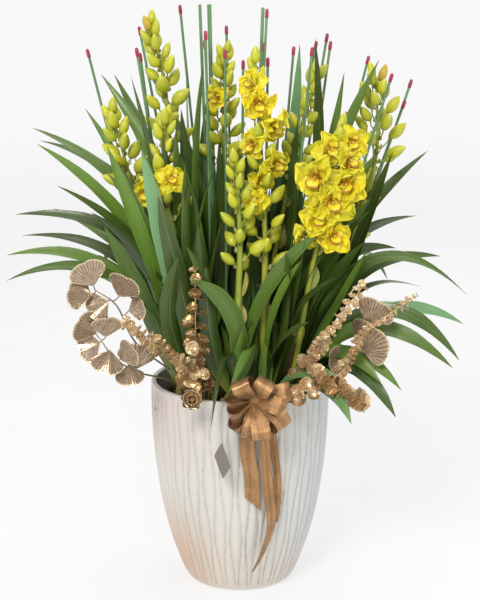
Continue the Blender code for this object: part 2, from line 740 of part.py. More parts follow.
def bow_loop(name, bearing, lean, length, opening, roll):
    turn, tilt = math.radians(bearing), math.radians(lean)
    out = Vector((math.cos(turn) * math.cos(tilt), -math.sin(tilt), math.sin(turn) * math.cos(tilt)))
    wide = out.cross(Vector((0, -1, 0))).normalized()
    wide = Matrix.Rotation(math.radians(roll), 3, out) @ wide
    across = out.cross(wide)
    points = []
    halves = []
    count = 13
    for number in range(count):
        s = 0.055 + 0.89 * number / (count - 1)
        reach = (1 - math.cos(2 * math.pi * s)) / 2
        lift = math.sin(2 * math.pi * s) * (0.30 + 0.70 * reach)
        along_loop = out * (KNOT_RADIUS + FIT_GAP * 2.5 + reach * length * MM)
        points.append(KNOT + along_loop + wide * (lift * opening * 0.5 * MM))
        halves.append(RIBBON_WIDTH * 0.5 * (0.18 + 0.82 * min(1.0, reach * 1.6)))
    return ribbon(name, points, halves, across)


def wall_front(x, z, clear):
    """The point just in front of the planter's wall at x and height z."""
    radius = inner_radius(min(z, POT_HEIGHT * 0.999)) + POT_WALL + clear
    return Vector((x, -math.sqrt(max(radius * radius - x * x, 0.0)), z))


# Each tail: (x, height, clearance from the wall) down its middle line, in mm.
TAILS = {
    "bow_tail_left": ((18, 404, 20), (14, 372, 12), (14, 320, 9), (22, 262, 8), (25, 206, 7)),
    "bow_tail_middle": (
        (33, 402, 22), (42, 366, 17), (48, 300, 16), (54, 235, 16), (60, 165, 18), (44, 105, 22), (24, 62, 26)),
    "bow_tail_right": ((46, 404, 16), (58, 372, 8), (64, 320, 6), (72, 240, 6), (66, 160, 7)),
}


def bow_tail(name, line):
    knots = [wall_front(x * MM, z * MM + POT_LIFT, clear * MM) for x, z, clear in line]
    count = 12
    points = [along(knots, i / (count - 1)) for i in range(count)]
    halves = [RIBBON_WIDTH * 0.5 * min(1.0, 0.22 + 3.2 * i / (count - 1)) * 0.72 for i in range(count)]
    return ribbon(name, points, halves, Vector((1, 0.1, 0)))


def knot():
    """The bow's knot, with the wire that holds it to the mix behind the rim."""
    over = Vector((KNOT.x * 0.8, -POT_RADIUS, POT_HEIGHT + 0.022))
    inside = Vector((KNOT.x * 0.5, -POT_RADIUS + POT_WALL + 0.014, POT_HEIGHT + 0.004))
    foot = Vector((KNOT.x * 0.5, -POT_RADIUS + POT_WALL + 0.016, MIX_TOP))
    low = foot - Vector((0, 0, 0.02))
    wire = tube([KNOT, over, inside, foot, low], [WIRE_RADIUS] * 5)
    hole_path = [low - Vector((0, 0, FIT_GAP)), foot + Vector((0, 0, 0.01))]
    hole = body("knot_hole", "mix", [tube(hole_path, [WIRE_RADIUS + FIT_GAP] * 2)], cutters)
    return grown("bow_knot", "satin", [ball(KNOT, KNOT_RADIUS), wire]), hole


TAG_TOP = Vector((-0.033, -0.208, POT_HEIGHT - 0.068))
TAG_TURN = 62


def tag():
    """A square card that hangs by one corner, turned part way from the front."""
    turn = math.radians(TAG_TURN)
    side_way = Vector((math.cos(turn), -math.sin(turn), 0.0))
    reach = TAG_SIDE / math.sqrt(2)
    outline = ((0.0, reach), (-reach, 0.0), (0.0, -reach), (reach, 0.0))
    middle = TAG_TOP - Vector((0, 0, reach))
    return body("tag", "card", [plate(outline, TAG_THICK, middle, side_way, Vector((0, 0, 1)))])


def tag_thread():
    """The thread from the tag's top corner up to the knot."""
    start = TAG_TOP + Vector((0, 0, FIT_GAP + THREAD_RADIUS))
    end = KNOT + Vector((-1, 0, 0.1)).normalized() * (KNOT_RADIUS + 0.0008)
    knots = [start, TAG_TOP + Vector((-0.004, 0.002, 0.043)), TAG_TOP + Vector((0.011, 0.003, 0.086)), end]
    path = [along(knots, i / 8) for i in range(9)]
    return body("tag_thread", "thread", [tube(path, [THREAD_RADIUS] * len(path))])


def build():
    holes = []
    planter()
    for name, (spot, leaves) in SHOOTS.items():
        shoot(name, spot, leaves)
    for name, (knots, buds, flowers, bare, first) in SPIKES.items():
        spike(name, knots[0], knots[1:], buds, flowers, bare, first)
    for name, (spot, tip) in STAKES.items():
        holes.append(stake(name, spot, tip)[1])
    for _, hole in gold_pieces():
        holes.append(hole)
    holes.append(knot()[1])
    for name, measures in LOOPS.items():
        bow_loop(name, *measures)
    for name, line in TAILS.items():
        bow_tail(name, line)
    tag()
    tag_thread()
    potting_mix(holes)


build()
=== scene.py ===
# Orchid in a vase: potted cymbidiums in a tall carved planter, with stakes, gold sprays,
# a satin bow and a hanging card tag. Metres, +Z up, -Y to the front.
import json
import math
import random

import bmesh
import bpy
import numpy as np
from mathutils import Matrix, Vector, noise

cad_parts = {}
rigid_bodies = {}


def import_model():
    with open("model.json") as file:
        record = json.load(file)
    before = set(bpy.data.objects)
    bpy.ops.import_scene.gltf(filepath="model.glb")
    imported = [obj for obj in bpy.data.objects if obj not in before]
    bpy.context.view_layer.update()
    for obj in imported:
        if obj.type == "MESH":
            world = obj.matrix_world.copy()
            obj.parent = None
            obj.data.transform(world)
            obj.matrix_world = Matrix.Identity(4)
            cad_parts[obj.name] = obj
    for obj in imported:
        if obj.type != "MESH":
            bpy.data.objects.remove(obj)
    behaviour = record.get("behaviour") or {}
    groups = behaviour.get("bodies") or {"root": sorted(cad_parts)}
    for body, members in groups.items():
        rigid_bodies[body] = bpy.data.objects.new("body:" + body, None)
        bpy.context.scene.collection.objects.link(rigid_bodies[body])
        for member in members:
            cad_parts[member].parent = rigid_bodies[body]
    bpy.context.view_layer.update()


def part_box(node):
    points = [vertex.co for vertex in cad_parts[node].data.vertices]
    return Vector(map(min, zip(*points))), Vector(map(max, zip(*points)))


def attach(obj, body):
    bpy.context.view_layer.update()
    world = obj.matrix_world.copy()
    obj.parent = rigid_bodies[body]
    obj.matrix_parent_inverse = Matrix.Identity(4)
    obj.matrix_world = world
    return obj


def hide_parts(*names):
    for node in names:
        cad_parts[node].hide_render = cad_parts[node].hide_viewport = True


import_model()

bl_info = {
    "name": "Orchid in a Vase",
    "version": (1, 0, 0),
    "blender": (4, 5, 0),
    "location": "3D View > Sidebar > Orchid",
    "description": "Builds the potted orchids, their planter and their gift decoration",
    "category": "Object",
}

MM = 0.001
UP = Vector((0.0, 0.0, 1.0))
FRONT = Vector((0.0, -1.0, 0.0))
RIGHT = Vector((1.0, 0.0, 0.0))
MIX_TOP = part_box("potting_mix")[1][2]
POT_RADIUS, _, POT_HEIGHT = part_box("planter")[1]
GOLDEN_TURN = math.radians(137.5)


# ---------------------------------------------------------------- sizes and colours
def length_of(name, about, default):
    return bpy.props.FloatProperty(name=name, description=about, default=default, min=0.0, unit="LENGTH")


def colour_of(name, about, default):
    return bpy.props.FloatVectorProperty(name=name, description=about, default=default, subtype="COLOR",
                                         size=3, min=0.0, max=1.0)


class OrchidSizes(bpy.types.PropertyGroup):
    groove_depth: length_of("Groove Depth", "Depth of the carved grooves in the planter", 0.0046)
    groove_wave: length_of("Groove Wave", "Height over which a groove swings once to each side", 0.215)
    wall: length_of("Planter Wall", "Thickness of the planter's wall at its rim", 0.010)
    stem_radius: length_of("Stem Radius", "Radius of a flower stem at its foot", 0.0066)
    bud_length: length_of("Bud Length", "Length of the lowest bud on a stem", 0.045)
    flower_radius: length_of("Flower Radius", "Reach of one petal of an open flower", 0.042)
    stake_radius: length_of("Stake Radius", "Radius of a plant stake", 0.0026)
    tip_radius: length_of("Stake Tip Radius", "Radius of the coloured tip of a stake", 0.0036)
    ribbon_width: length_of("Ribbon Width", "Width of the satin ribbon", 0.036)
    tag_side: length_of("Tag Side", "Side of the square card tag", 0.050)
    thread_diameter: length_of("Thread Diameter", "Diameter of the tag's thread", 0.0012)
    groove_count: bpy.props.IntProperty(name="Grooves", description="Grooves round the planter, an even number",
                                        default=60, min=8, max=80)


class OrchidColours(bpy.types.PropertyGroup):
    glaze: colour_of("Glaze", "Warm white of the planter", (0.66, 0.63, 0.57))
    leaf_dark: colour_of("Leaf Shade", "Darkest leaves", (0.036, 0.070, 0.009))
    leaf_light: colour_of("Leaf Light", "Brightest leaves", (0.135, 0.26, 0.026))
    bud: colour_of("Bud", "Closed buds", (0.56, 0.55, 0.018))
    petal: colour_of("Petal", "Open petals", (0.80, 0.67, 0.010))
    lip: colour_of("Lip", "Edge of the flower's lip", (0.30, 0.012, 0.010))
    stake: colour_of("Stake", "Plant stakes", (0.10, 0.20, 0.075))
    tip: colour_of("Stake Tip", "Coloured tips of the stakes", (0.27, 0.012, 0.045))
    gold: colour_of("Gold", "Painted dried leaves", (0.88, 0.66, 0.38))
    satin: colour_of("Satin", "Ribbon of the bow", (0.43, 0.235, 0.10))
    card: colour_of("Card", "Face of the tag", (0.135, 0.110, 0.095))


def sizes():
    return bpy.context.scene.orchid_sizes


def colours():
    return bpy.context.scene.orchid_colours


# ---------------------------------------------------------------- node helpers
FLOAT, VECTOR, GEOMETRY = "NodeSocketFloat", "NodeSocketVector", "NodeSocketGeometry"
FINISH = ("Finish", "NodeSocketMaterial", None)


class Nodes:
    """Adds nodes to a tree. A value is a constant or the output socket of another node."""

    def __init__(self, tree):
        self.tree = tree

    def feed(self, socket, value):
        if isinstance(value, bpy.types.NodeSocket):
            self.tree.links.new(value, socket)
        else:
            socket.default_value = value

    def put(self, kind, values=None, **settings):
        """Adds a node and returns its outputs: settings are its own properties, values its inputs by name or place."""
        made = self.tree.nodes.new(kind)
        for key, value in settings.items():
            setattr(made, key, value)
        for key, value in (values or {}).items():
            self.feed(made.inputs[key], value)
        return made.outputs

    def maths(self, operation, *values):
        return self.put("ShaderNodeMath", dict(enumerate(values)), operation=operation)[0]

    def times(self, first, *others):
        for other in others:
            first = self.maths("MULTIPLY", first, other)
        return first

    def size_of(self, value):
        return self.maths("ABSOLUTE", value)

    def scaled(self, vector, by):
        return self.put("ShaderNodeVectorMath", {0: vector, "Scale": by}, operation="SCALE")[0]

    def axes(self, vector):
        return self.put("ShaderNodeSeparateXYZ", {0: vector})

    def coords(self, kind="Object"):
        return self.put("ShaderNodeTexCoord")[kind]

    def point(self, *values):
        return self.put("ShaderNodeCombineXYZ", dict(enumerate(values)))[0]

    def clouds(self, place, scale, detail=2.0):
        return self.put("ShaderNodeTexNoise", {"Vector": place, "Scale": scale, "Detail": detail})["Fac"]

    def blend(self, share, first, second):
        """A mix of two colours."""
        ends = [c if isinstance(c, bpy.types.NodeSocket) else (*c, 1.0) for c in (first, second)]
        return self.put("ShaderNodeMix", {0: share, 6: ends[0], 7: ends[1]}, data_type="RGBA")[2]

    def stepped(self, value, low, high, out_low=0.0, out_high=1.0):
        """A smooth step of a value from low to high."""
        return self.put("ShaderNodeMapRange", {0: value, 1: low, 2: high, 3: out_low, 4: out_high},
                        interpolation_type="SMOOTHSTEP")[0]

    def named(self, name):
        return self.put("ShaderNodeAttribute", attribute_name=name)["Fac"]

    def carried(self, name, kind="FLOAT"):
        """An attribute that the points of a geometry tree carry."""
        return self.put("GeometryNodeInputNamedAttribute", {0: name}, data_type=kind)[0]

    def store(self, geometry, name, value):
        return self.put("GeometryNodeStoreNamedAttribute", {"Geometry": geometry, "Name": name, "Value": value},
                        data_type="FLOAT", domain="POINT")[0]

    def end(self, geometry, given, out):
        """Ends a geometry tree: real geometry, in its finish."""
        whole = self.put("GeometryNodeRealizeInstances", {"Geometry": geometry})[0]
        whole = self.put("GeometryNodeSetMaterial", {"Geometry": whole, "Material": given["Finish"]})[0]
        self.feed(out["Geometry"], whole)

    def effect(self, name, **values):
        """Places a shared effect in a material; input names are written in lower case."""
        group = bpy.data.node_groups.get(name) or EFFECTS[name]()
        return self.put("ShaderNodeGroup", {key.title(): value for key, value in values.items()}, node_tree=group)

    def patches(self, scale, stretch=1.0, low=0.35, high=0.65):
        return self.effect("patches", scale=scale, stretch=(1.0, 1.0, stretch), low=low, high=high)["Mask"]


def new_group(name, kind, inputs, outputs):
    """A node group with named sockets; returns its nodes, its input values and its output sockets."""
    tree = bpy.data.node_groups.new(name, kind)
    for label, socket, value in inputs:
        made = tree.interface.new_socket(label, in_out="INPUT", socket_type=socket)
        if value is not None:
            made.default_value = value
    for label, socket in outputs:
        tree.interface.new_socket(label, in_out="OUTPUT", socket_type=socket)
    return Nodes(tree), tree.nodes.new("NodeGroupInput").outputs, tree.nodes.new("NodeGroupOutput").inputs


# ---------------------------------------------------------------- surface effects
def patches_group():
    """Soft blotches, for uneven colour and gloss."""
    net, given, out = new_group("patches", "ShaderNodeTree", (
        ("Scale", FLOAT, 20.0), ("Stretch", VECTOR, (1.0, 1.0, 1.0)), ("Low", FLOAT, 0.35), ("High", FLOAT, 0.65)),
        (("Mask", FLOAT),))
    place = net.put("ShaderNodeVectorMath", {0: net.coords(), 1: given["Stretch"]}, operation="MULTIPLY")[0]
    net.feed(out["Mask"], net.stepped(net.clouds(place, given["Scale"], 3.0), given["Low"], given["High"]))
    return net.tree


def specks_group():
    """Sparse round specks, as dust, iron spots and small blemishes."""
    net, given, out = new_group("specks", "ShaderNodeTree", (
        ("Scale", FLOAT, 60.0), ("Size", FLOAT, 0.1), ("Share", FLOAT, 0.1)), (("Mask", FLOAT),))
    cell = net.put("ShaderNodeTexVoronoi", {"Vector": net.coords(), "Scale": given["Scale"]})
    chance = net.put("ShaderNodeSeparateColor", {0: cell["Color"]})[0]
    spot = net.maths("LESS_THAN", cell["Distance"], given["Size"])
    net.feed(out["Mask"], net.times(spot, net.maths("LESS_THAN", chance, given["Share"])))
    return net.tree


def veins_group():
    """Fine lines that run along a leaf, petal or stem, and wander a little."""
    net, given, out = new_group("veins", "ShaderNodeTree", (
        ("Across", FLOAT, 0.0), ("Along", FLOAT, 0.0), ("Tone", FLOAT, 0.0), ("Count", FLOAT, 14.0)),
        (("Line", FLOAT), ("Streak", FLOAT)))
    place = net.point(net.times(given["Across"], 3.0), net.times(given["Along"], 2.5), net.times(given["Tone"], 37.0))
    cloud = net.clouds(place, 1.6)
    swing = net.maths("MULTIPLY_ADD", cloud, 2.2, net.times(given["Across"], given["Count"]))
    net.feed(out["Line"], net.stepped(net.size_of(net.maths("SINE", swing)), 0.0, 0.55))
    net.feed(out["Streak"], net.stepped(cloud, 0.35, 0.65))
    return net.tree


def weave_group():
    """The fine weave of ribbon or thread over its own UV map."""
    net, given, out = new_group("weave", "ShaderNodeTree", (
        ("Warp", FLOAT, 90.0), ("Weft", FLOAT, 700.0)), (("Height", FLOAT),))
    place = net.axes(net.coords("UV"))
    warp = net.maths("SINE", net.times(place[0], given["Warp"]))
    weft = net.maths("SINE", net.times(place[1], given["Weft"]))
    net.feed(out["Height"], net.maths("ADD", net.times(warp, 0.7), net.times(weft, 0.3)))
    return net.tree


EFFECTS = {"patches": patches_group, "specks": specks_group, "veins": veins_group, "weave": weave_group}


# ---------------------------------------------------------------- finishes
class Surface(Nodes):
    """A Principled material: constants on its own sockets, and tints laid one by one over a base colour."""

    def __init__(self, name, rough=0.5, metal=0.0, **constants):
        self.mat = bpy.data.materials.new(name)
        self.mat.use_nodes = True
        super().__init__(self.mat.node_tree)
        self.sockets = self.tree.nodes["Principled BSDF"].inputs
        for key, value in {"roughness": rough, "metallic": metal, **constants}.items():
            self.sockets[key.replace("_", " ").title().replace("Ior", "IOR")].default_value = value

    def grained(self, count):
        """Reads the piece's own attributes and lays veins along them."""
        self.across, self.along, self.tone = (self.named(key) for key in ("across", "along", "tone"))
        self.veins = self.effect("veins", across=self.across, along=self.along, tone=self.tone, count=count)
        self.gaps = self.maths("SUBTRACT", 1.0, self.veins["Line"])

    def start(self, share, first, second):
        self.base = self.blend(share, first, second)

    def tint(self, mask, colour, strength=None):
        """Lays a colour over the base where the mask lets it."""
        self.base = self.blend(mask if strength is None else self.times(mask, strength), self.base, colour)

    def finish(self, height, strength, distance, **varied):
        """Connects the base colour, the relief and the sockets that vary."""
        bump = self.put("ShaderNodeBump", {"Strength": strength, "Distance": distance, "Height": height})[0]
        for key, value in {"Base Color": self.base, "Normal": bump, **varied}.items():
            self.feed(self.sockets[key], value)
        return self.mat


def cached(maker):
    """Makes each material once."""
    def find(*args):
        key = maker.__name__ + "".join("_" + str(a) for a in args)
        return bpy.data.materials.get(key) or maker(key, *args)
    return find


@cached
def glazed_ceramic(name):
    skin = Surface(name, 0.36, coat_weight=0.35, coat_roughness=0.22)
    x, _, z = skin.axes(skin.coords())
    skin.start(skin.patches(9.0, 0.5, 0.3, 0.7), colours().glaze, (0.60, 0.595, 0.56))
    # Painted shade: the right side is tinted blue-grey and the upper left side pinkish-brown, so the sides fall darker
    # than the middle.
    skin.tint(skin.stepped(x, 0.05, 0.18), (0.53, 0.565, 0.585), 0.75)
    skin.tint(skin.times(skin.stepped(x, -0.02, -0.17), skin.stepped(z, 0.16, 0.40)), (0.54, 0.43, 0.41), 0.62)
    # Darker and warmer towards the foot, and browner low on the left side.
    skin.tint(skin.stepped(z, 0.17, 0.01), (0.62, 0.48, 0.36), 0.30)
    skin.tint(skin.times(skin.stepped(x, -0.02, -0.13), skin.stepped(z, 0.24, 0.03)), (0.56, 0.32, 0.17), 0.70)
    # Painted shade in the grooves: the glaze is darker where a groove cuts deeper.
    skin.tint(skin.maths("POWER", skin.named("groove"), 2.2), (0.32, 0.28, 0.24), 0.34)
    for scale, size, share, strength in ((30.0, 0.11, 0.05, 0.85), (150.0, 0.16, 0.05, 0.45)):
        skin.tint(skin.effect("specks", scale=scale, size=size, share=share)["Mask"], (0.10, 0.085, 0.07), strength)
    gloss = skin.stepped(skin.patches(24.0, low=0.3, high=0.7), 0.0, 1.0, 0.30, 0.46)
    return skin.finish(skin.clouds(skin.coords(), 120.0, 4.0), 0.22, 0.0012, Roughness=gloss)


@cached
def bark(name):
    skin = Surface(name, 0.92)
    grain = skin.patches(90.0, 3.0)
    skin.start(skin.named("tone"), (0.045, 0.024, 0.013), (0.21, 0.125, 0.065))
    skin.tint(grain, (0.025, 0.014, 0.009), 0.5)
    return skin.finish(grain, 0.6, 0.002)


@cached
def leaf_skin(name):
    skin = Surface(name, 0.40, coat_weight=0.22, coat_roughness=0.30, subsurface_weight=0.0)
    skin.grained(11.0)
    mottle = skin.patches(38.0, 0.35, 0.36, 0.66)
    skin.start(skin.stepped(skin.tone, 0.15, 0.80), colours().leaf_dark, colours().leaf_light)
    skin.tint(mottle, (0.10, 0.13, 0.022), 0.30)
    skin.tint(skin.gaps, (0.012, 0.032, 0.006), 0.42)
    skin.tint(skin.stepped(skin.size_of(skin.across), 0.10, 0.02), (0.17, 0.25, 0.06), 0.40)
    # Painted sheen: the palest leaves are tinted a light mint.
    skin.tint(skin.stepped(skin.tone, 0.86, 0.93), (0.20, 0.42, 0.22), 0.60)
    skin.tint(skin.stepped(skin.along, 0.24, 0.03), (0.27, 0.30, 0.045), 0.75)
    skin.tint(skin.stepped(skin.tone, 0.09, 0.05), (0.33, 0.22, 0.09), 0.8)
    skin.tint(skin.stepped(skin.along, 0.955, 0.995), (0.16, 0.09, 0.03), skin.stepped(skin.veins["Streak"], 0.2, 0.9))
    return skin.finish(skin.veins["Line"], 0.45, 0.0009, Roughness=skin.stepped(mottle, 0.0, 1.0, 0.30, 0.50))


@cached
def stem_skin(name, kind):
    """Green flower stem, or the yellower sheath and bulb."""
    green, yellow = {"stem": ((0.20, 0.28, 0.02), (0.36, 0.38, 0.03)),
                     "sheath": ((0.25, 0.30, 0.05), (0.44, 0.36, 0.12)),
                     "bulb": ((0.13, 0.20, 0.03), (0.36, 0.33, 0.09))}[kind]
    skin = Surface(name, 0.42, coat_weight=0.15, coat_roughness=0.3)
    skin.grained(16.0)
    skin.start(skin.tone, green, yellow)
    skin.tint(skin.patches(70.0, 1.0, 0.45, 0.7), (0.11, 0.16, 0.02), 0.35)
    skin.tint(skin.gaps, (0.10, 0.12, 0.02), 0.3)
    if kind != "stem":
        skin.tint(skin.stepped(skin.along, 0.75, 1.0, 0.0, 0.8), (0.30, 0.18, 0.08))
    return skin.finish(skin.veins["Line"], 0.35, 0.0008)


@cached
def bud_skin(name):
    skin = Surface(name, 0.38, coat_weight=0.12, coat_roughness=0.3, subsurface_weight=0.0)
    skin.grained(9.0)
    skin.start(skin.tone, (0.33, 0.38, 0.018), colours().bud)
    skin.tint(skin.stepped(skin.along, 0.30, 0.02), (0.26, 0.38, 0.035))
    skin.tint(skin.stepped(skin.along, 0.70, 1.0, 0.0, 0.65), (0.66, 0.70, 0.13))
    skin.tint(skin.patches(60.0), (0.62, 0.56, 0.05), 0.22)
    skin.tint(skin.gaps, (0.25, 0.33, 0.02), 0.30)
    skin.tint(skin.stepped(skin.tone, 0.93, 0.97), (0.50, 0.20, 0.035), 0.65)
    return skin.finish(skin.veins["Line"], 0.30, 0.0007)


@cached
def petal_skin(name, kind):
    skin = Surface(name, 0.48, subsurface_weight=0.0)
    skin.grained(8.0)
    away = skin.size_of(skin.across)
    skin.start(skin.tone, colours().petal, (0.60, 0.62, 0.04))
    skin.tint(skin.gaps, (0.60, 0.42, 0.01), 0.25)
    skin.tint(skin.stepped(away, 0.72, 1.0), (0.86, 0.80, 0.12), 0.22)
    if kind == "lip":
        edge = skin.maths("MAXIMUM", skin.stepped(skin.along, 0.78, 0.95), skin.stepped(away, 0.74, 0.96))
        skin.tint(skin.stepped(skin.along, 0.55, 0.20, 0.0, 0.75), (0.80, 0.30, 0.02))
        skin.tint(skin.times(edge, skin.stepped(skin.along, 0.22, 0.42)), colours().lip, 0.84)
    else:
        skin.tint(skin.stepped(skin.along, 0.30, 0.0, 0.0, 0.75), (0.66, 0.36, 0.02))
        skin.tint(skin.stepped(skin.along, 0.16, 0.02, 0.0, 0.5), (0.30, 0.05, 0.012))
    return skin.finish(skin.veins["Line"], 0.30, 0.0008)


@cached
def stake_plastic(name, kind):
    shade, rough = {"rod": (colours().stake, 0.44), "tip": (colours().tip, 0.34)}[kind]
    skin = Surface(name, rough, coat_weight=0.1)
    worn = skin.patches(55.0, 0.3, 0.4, 0.7)
    skin.start(skin.times(worn, 0.45), shade, [c * 1.7 + 0.02 for c in shade])
    skin.tint(skin.effect("specks", scale=420.0, size=0.2, share=0.08)["Mask"], (0.45, 0.42, 0.36), 0.35)
    return skin.finish(worn, 0.15, 0.0008)


@cached
def gold_paint(name, kind):
    """Metallic paint over dried leaves: bright gold, or the bronze of the fan leaves."""
    bright, shade, dark, vein_share, metal = {
        "gold": (colours().gold, (0.42, 0.24, 0.09), (0.10, 0.052, 0.022), 0.45, 0.80),
        "bronze": ((0.46, 0.35, 0.24), (0.27, 0.18, 0.11), (0.06, 0.040, 0.026), 0.85, 0.55),
    }[kind]
    skin = Surface(name, 0.28, metal)
    skin.grained(22.0)
    rubbed = skin.patches(120.0, 1.0, 0.48, 0.72)
    skin.start(skin.stepped(skin.tone, 0.1, 0.9), bright, shade)
    skin.tint(skin.gaps, dark, vein_share)
    skin.tint(rubbed, dark, 0.5)
    # Painted highlight: each leaf is lightened along its outer end and its side edges.
    sides = skin.stepped(skin.size_of(skin.across), 0.93, 1.0)
    rim = skin.maths("MAXIMUM", skin.stepped(skin.along, 0.90, 0.99), sides)
    skin.tint(rim, (0.86, 0.72, 0.46), 0.6)
    return skin.finish(skin.veins["Line"], 0.5, 0.0010, Roughness=skin.stepped(rubbed, 0.0, 1.0, 0.22, 0.45),
                       Metallic=skin.stepped(rubbed, 0.0, 1.0, metal, metal * 0.56))


@cached
def ribbon_satin(name):
    skin = Surface(name, 0.30, 0.62, sheen_weight=0.15, sheen_roughness=0.4, anisotropic=0.6)
    place = skin.axes(skin.coords("UV"))
    cloud = skin.patches(30.0)
    crease = skin.clouds(skin.point(skin.times(place[0], 4.0), skin.times(place[1], 1.2)), 1.0)
    weave = skin.effect("weave", warp=190.0, weft=2600.0)["Height"]
    side = skin.size_of(skin.maths("MULTIPLY_ADD", place[0], 2.0, -1.0))
    satin = colours().satin
    skin.start(cloud, [c * 0.85 for c in satin], [c * 1.20 for c in satin])
    # Painted shade: the ribbon is darkened where its creases sink.
    skin.tint(skin.stepped(crease, 0.56, 0.40, 0.0, 0.55), (0.22, 0.11, 0.042))
    skin.tint(skin.stepped(side, 0.88, 0.97, 0.0, 0.5), (0.24, 0.12, 0.045))
    skin.tint(skin.stepped(weave, -1.0, 1.0, 0.16, 0.0), (0.12, 0.06, 0.02))
    return skin.finish(skin.maths("MULTIPLY_ADD", crease, 9.0, weave), 0.30, 0.0004,
                       Roughness=skin.stepped(cloud, 0.0, 1.0, 0.22, 0.32))


@cached
def tag_card(name):
    skin = Surface(name, 0.72)
    place = skin.axes(skin.coords("UV"))
    reach = skin.maths("MAXIMUM", skin.size_of(place[0]), skin.size_of(place[1]))
    fibre = skin.patches(260.0, 2.5)
    skin.start(skin.times(fibre, 0.35), colours().card, (0.29, 0.25, 0.22))
    skin.tint(skin.maths("GREATER_THAN", reach, 0.80), (0.52, 0.49, 0.45), skin.maths("LESS_THAN", reach, 0.84))
    skin.tint(skin.stepped(reach, 0.90, 0.96, 0.0, 0.8), (0.075, 0.060, 0.050))
    return skin.finish(fibre, 0.25, 0.0004)


@cached
def twine(name):
    skin = Surface(name, 0.8, sheen_weight=0.3)
    weave = skin.effect("weave", warp=12.0, weft=900.0)["Height"]
    skin.start(skin.stepped(weave, -1.0, 1.0), (0.24, 0.17, 0.09), (0.52, 0.41, 0.26))
    return skin.finish(weave, 0.5, 0.0003)


@cached
def studio_paper(name):
    """Pale paper with a glow of its own, so that it stays even out to the horizon."""
    skin = Surface(name, 0.9, specular_ior_level=0.0, emission_strength=1.0)
    reach = skin.put("ShaderNodeVectorMath", {0: skin.coords()}, operation="LENGTH")["Value"]
    glow = skin.blend(skin.stepped(reach, 0.6, 9.0), (0.64, 0.64, 0.64), (0.76, 0.76, 0.76))
    skin.feed(skin.sockets["Base Color"], skin.blend(skin.patches(3.0), (0.30, 0.30, 0.30), (0.31, 0.31, 0.31)))
    skin.feed(skin.sockets["Emission Color"], glow)
    return skin.mat


# ---------------------------------------------------------------- geometry trees
def sweep_tree():
    """A profile swept along paths. Paths and profile are edge meshes; each path point has a half width and a side."""
    net, given, out = new_group("sweep_along_paths", "GeometryNodeTree", (
        ("Paths", GEOMETRY, None), ("Profile", "NodeSocketObject", None), ("Width", FLOAT, 1.0), FINISH),
        (("Geometry", GEOMETRY),))
    paths = net.put("GeometryNodeMeshToCurve", {"Mesh": given["Paths"]})[0]
    side = net.carried("side", "FLOAT_VECTOR")
    paths = net.put("GeometryNodeSetCurveNormal", {"Curve": paths, "Normal": side}, mode="FREE")[0]
    paths = net.store(paths, "along", net.put("GeometryNodeSplineParameter")["Factor"])
    shape = net.put("GeometryNodeObjectInfo", {"Object": given["Profile"]})["Geometry"]
    shape = net.put("GeometryNodeMeshToCurve", {"Mesh": shape})[0]
    skin = net.put("GeometryNodeCurveToMesh", {"Curve": paths, "Profile Curve": shape, "Fill Caps": True,
                                               "Scale": net.times(net.carried("half"), given["Width"])})[0]
    net.end(skin, given, out)
    return net.tree


def scatter_tree():
    """A small shape repeated on points that carry a turn, a size and a tone."""
    net, given, out = new_group("repeat_on_points", "GeometryNodeTree", (
        ("Points", GEOMETRY, None), ("Shape", "NodeSocketObject", None), ("Size", FLOAT, 1.0), FINISH),
        (("Geometry", GEOMETRY),))
    shape = net.put("GeometryNodeObjectInfo", {"Object": given["Shape"]})["Geometry"]
    copies = net.put("GeometryNodeInstanceOnPoints", {
        "Points": given["Points"], "Instance": shape,
        "Scale": net.scaled(net.carried("size", "FLOAT_VECTOR"), given["Size"]),
        "Rotation": net.put("FunctionNodeEulerToRotation", {0: net.carried("turn", "FLOAT_VECTOR")})[0]})[0]
    net.end(copies, given, out)
    return net.tree


def groove_place(net, number, given, height):
    """Where groove number stands round the planter, in groove steps: it swings to and fro up the wall."""
    whole = net.maths("FLOORED_MODULO", number, given["Grooves"])
    own = net.put("FunctionNodeRandomValue", {"Min": 0.0, "Max": 1.0, "ID": whole, "Seed": given["Seed"]},
                  data_type="FLOAT")
    own = next(s for s in own if s.enabled)
    phase = net.maths("MULTIPLY_ADD", whole, math.pi, net.times(own, 1.5))
    phase = net.maths("ADD", phase, net.maths("DIVIDE", net.times(height, 2 * math.pi), given["Wave"]))
    return net.maths("ADD", number, net.times(net.maths("SINE", phase), given["Swing"]))


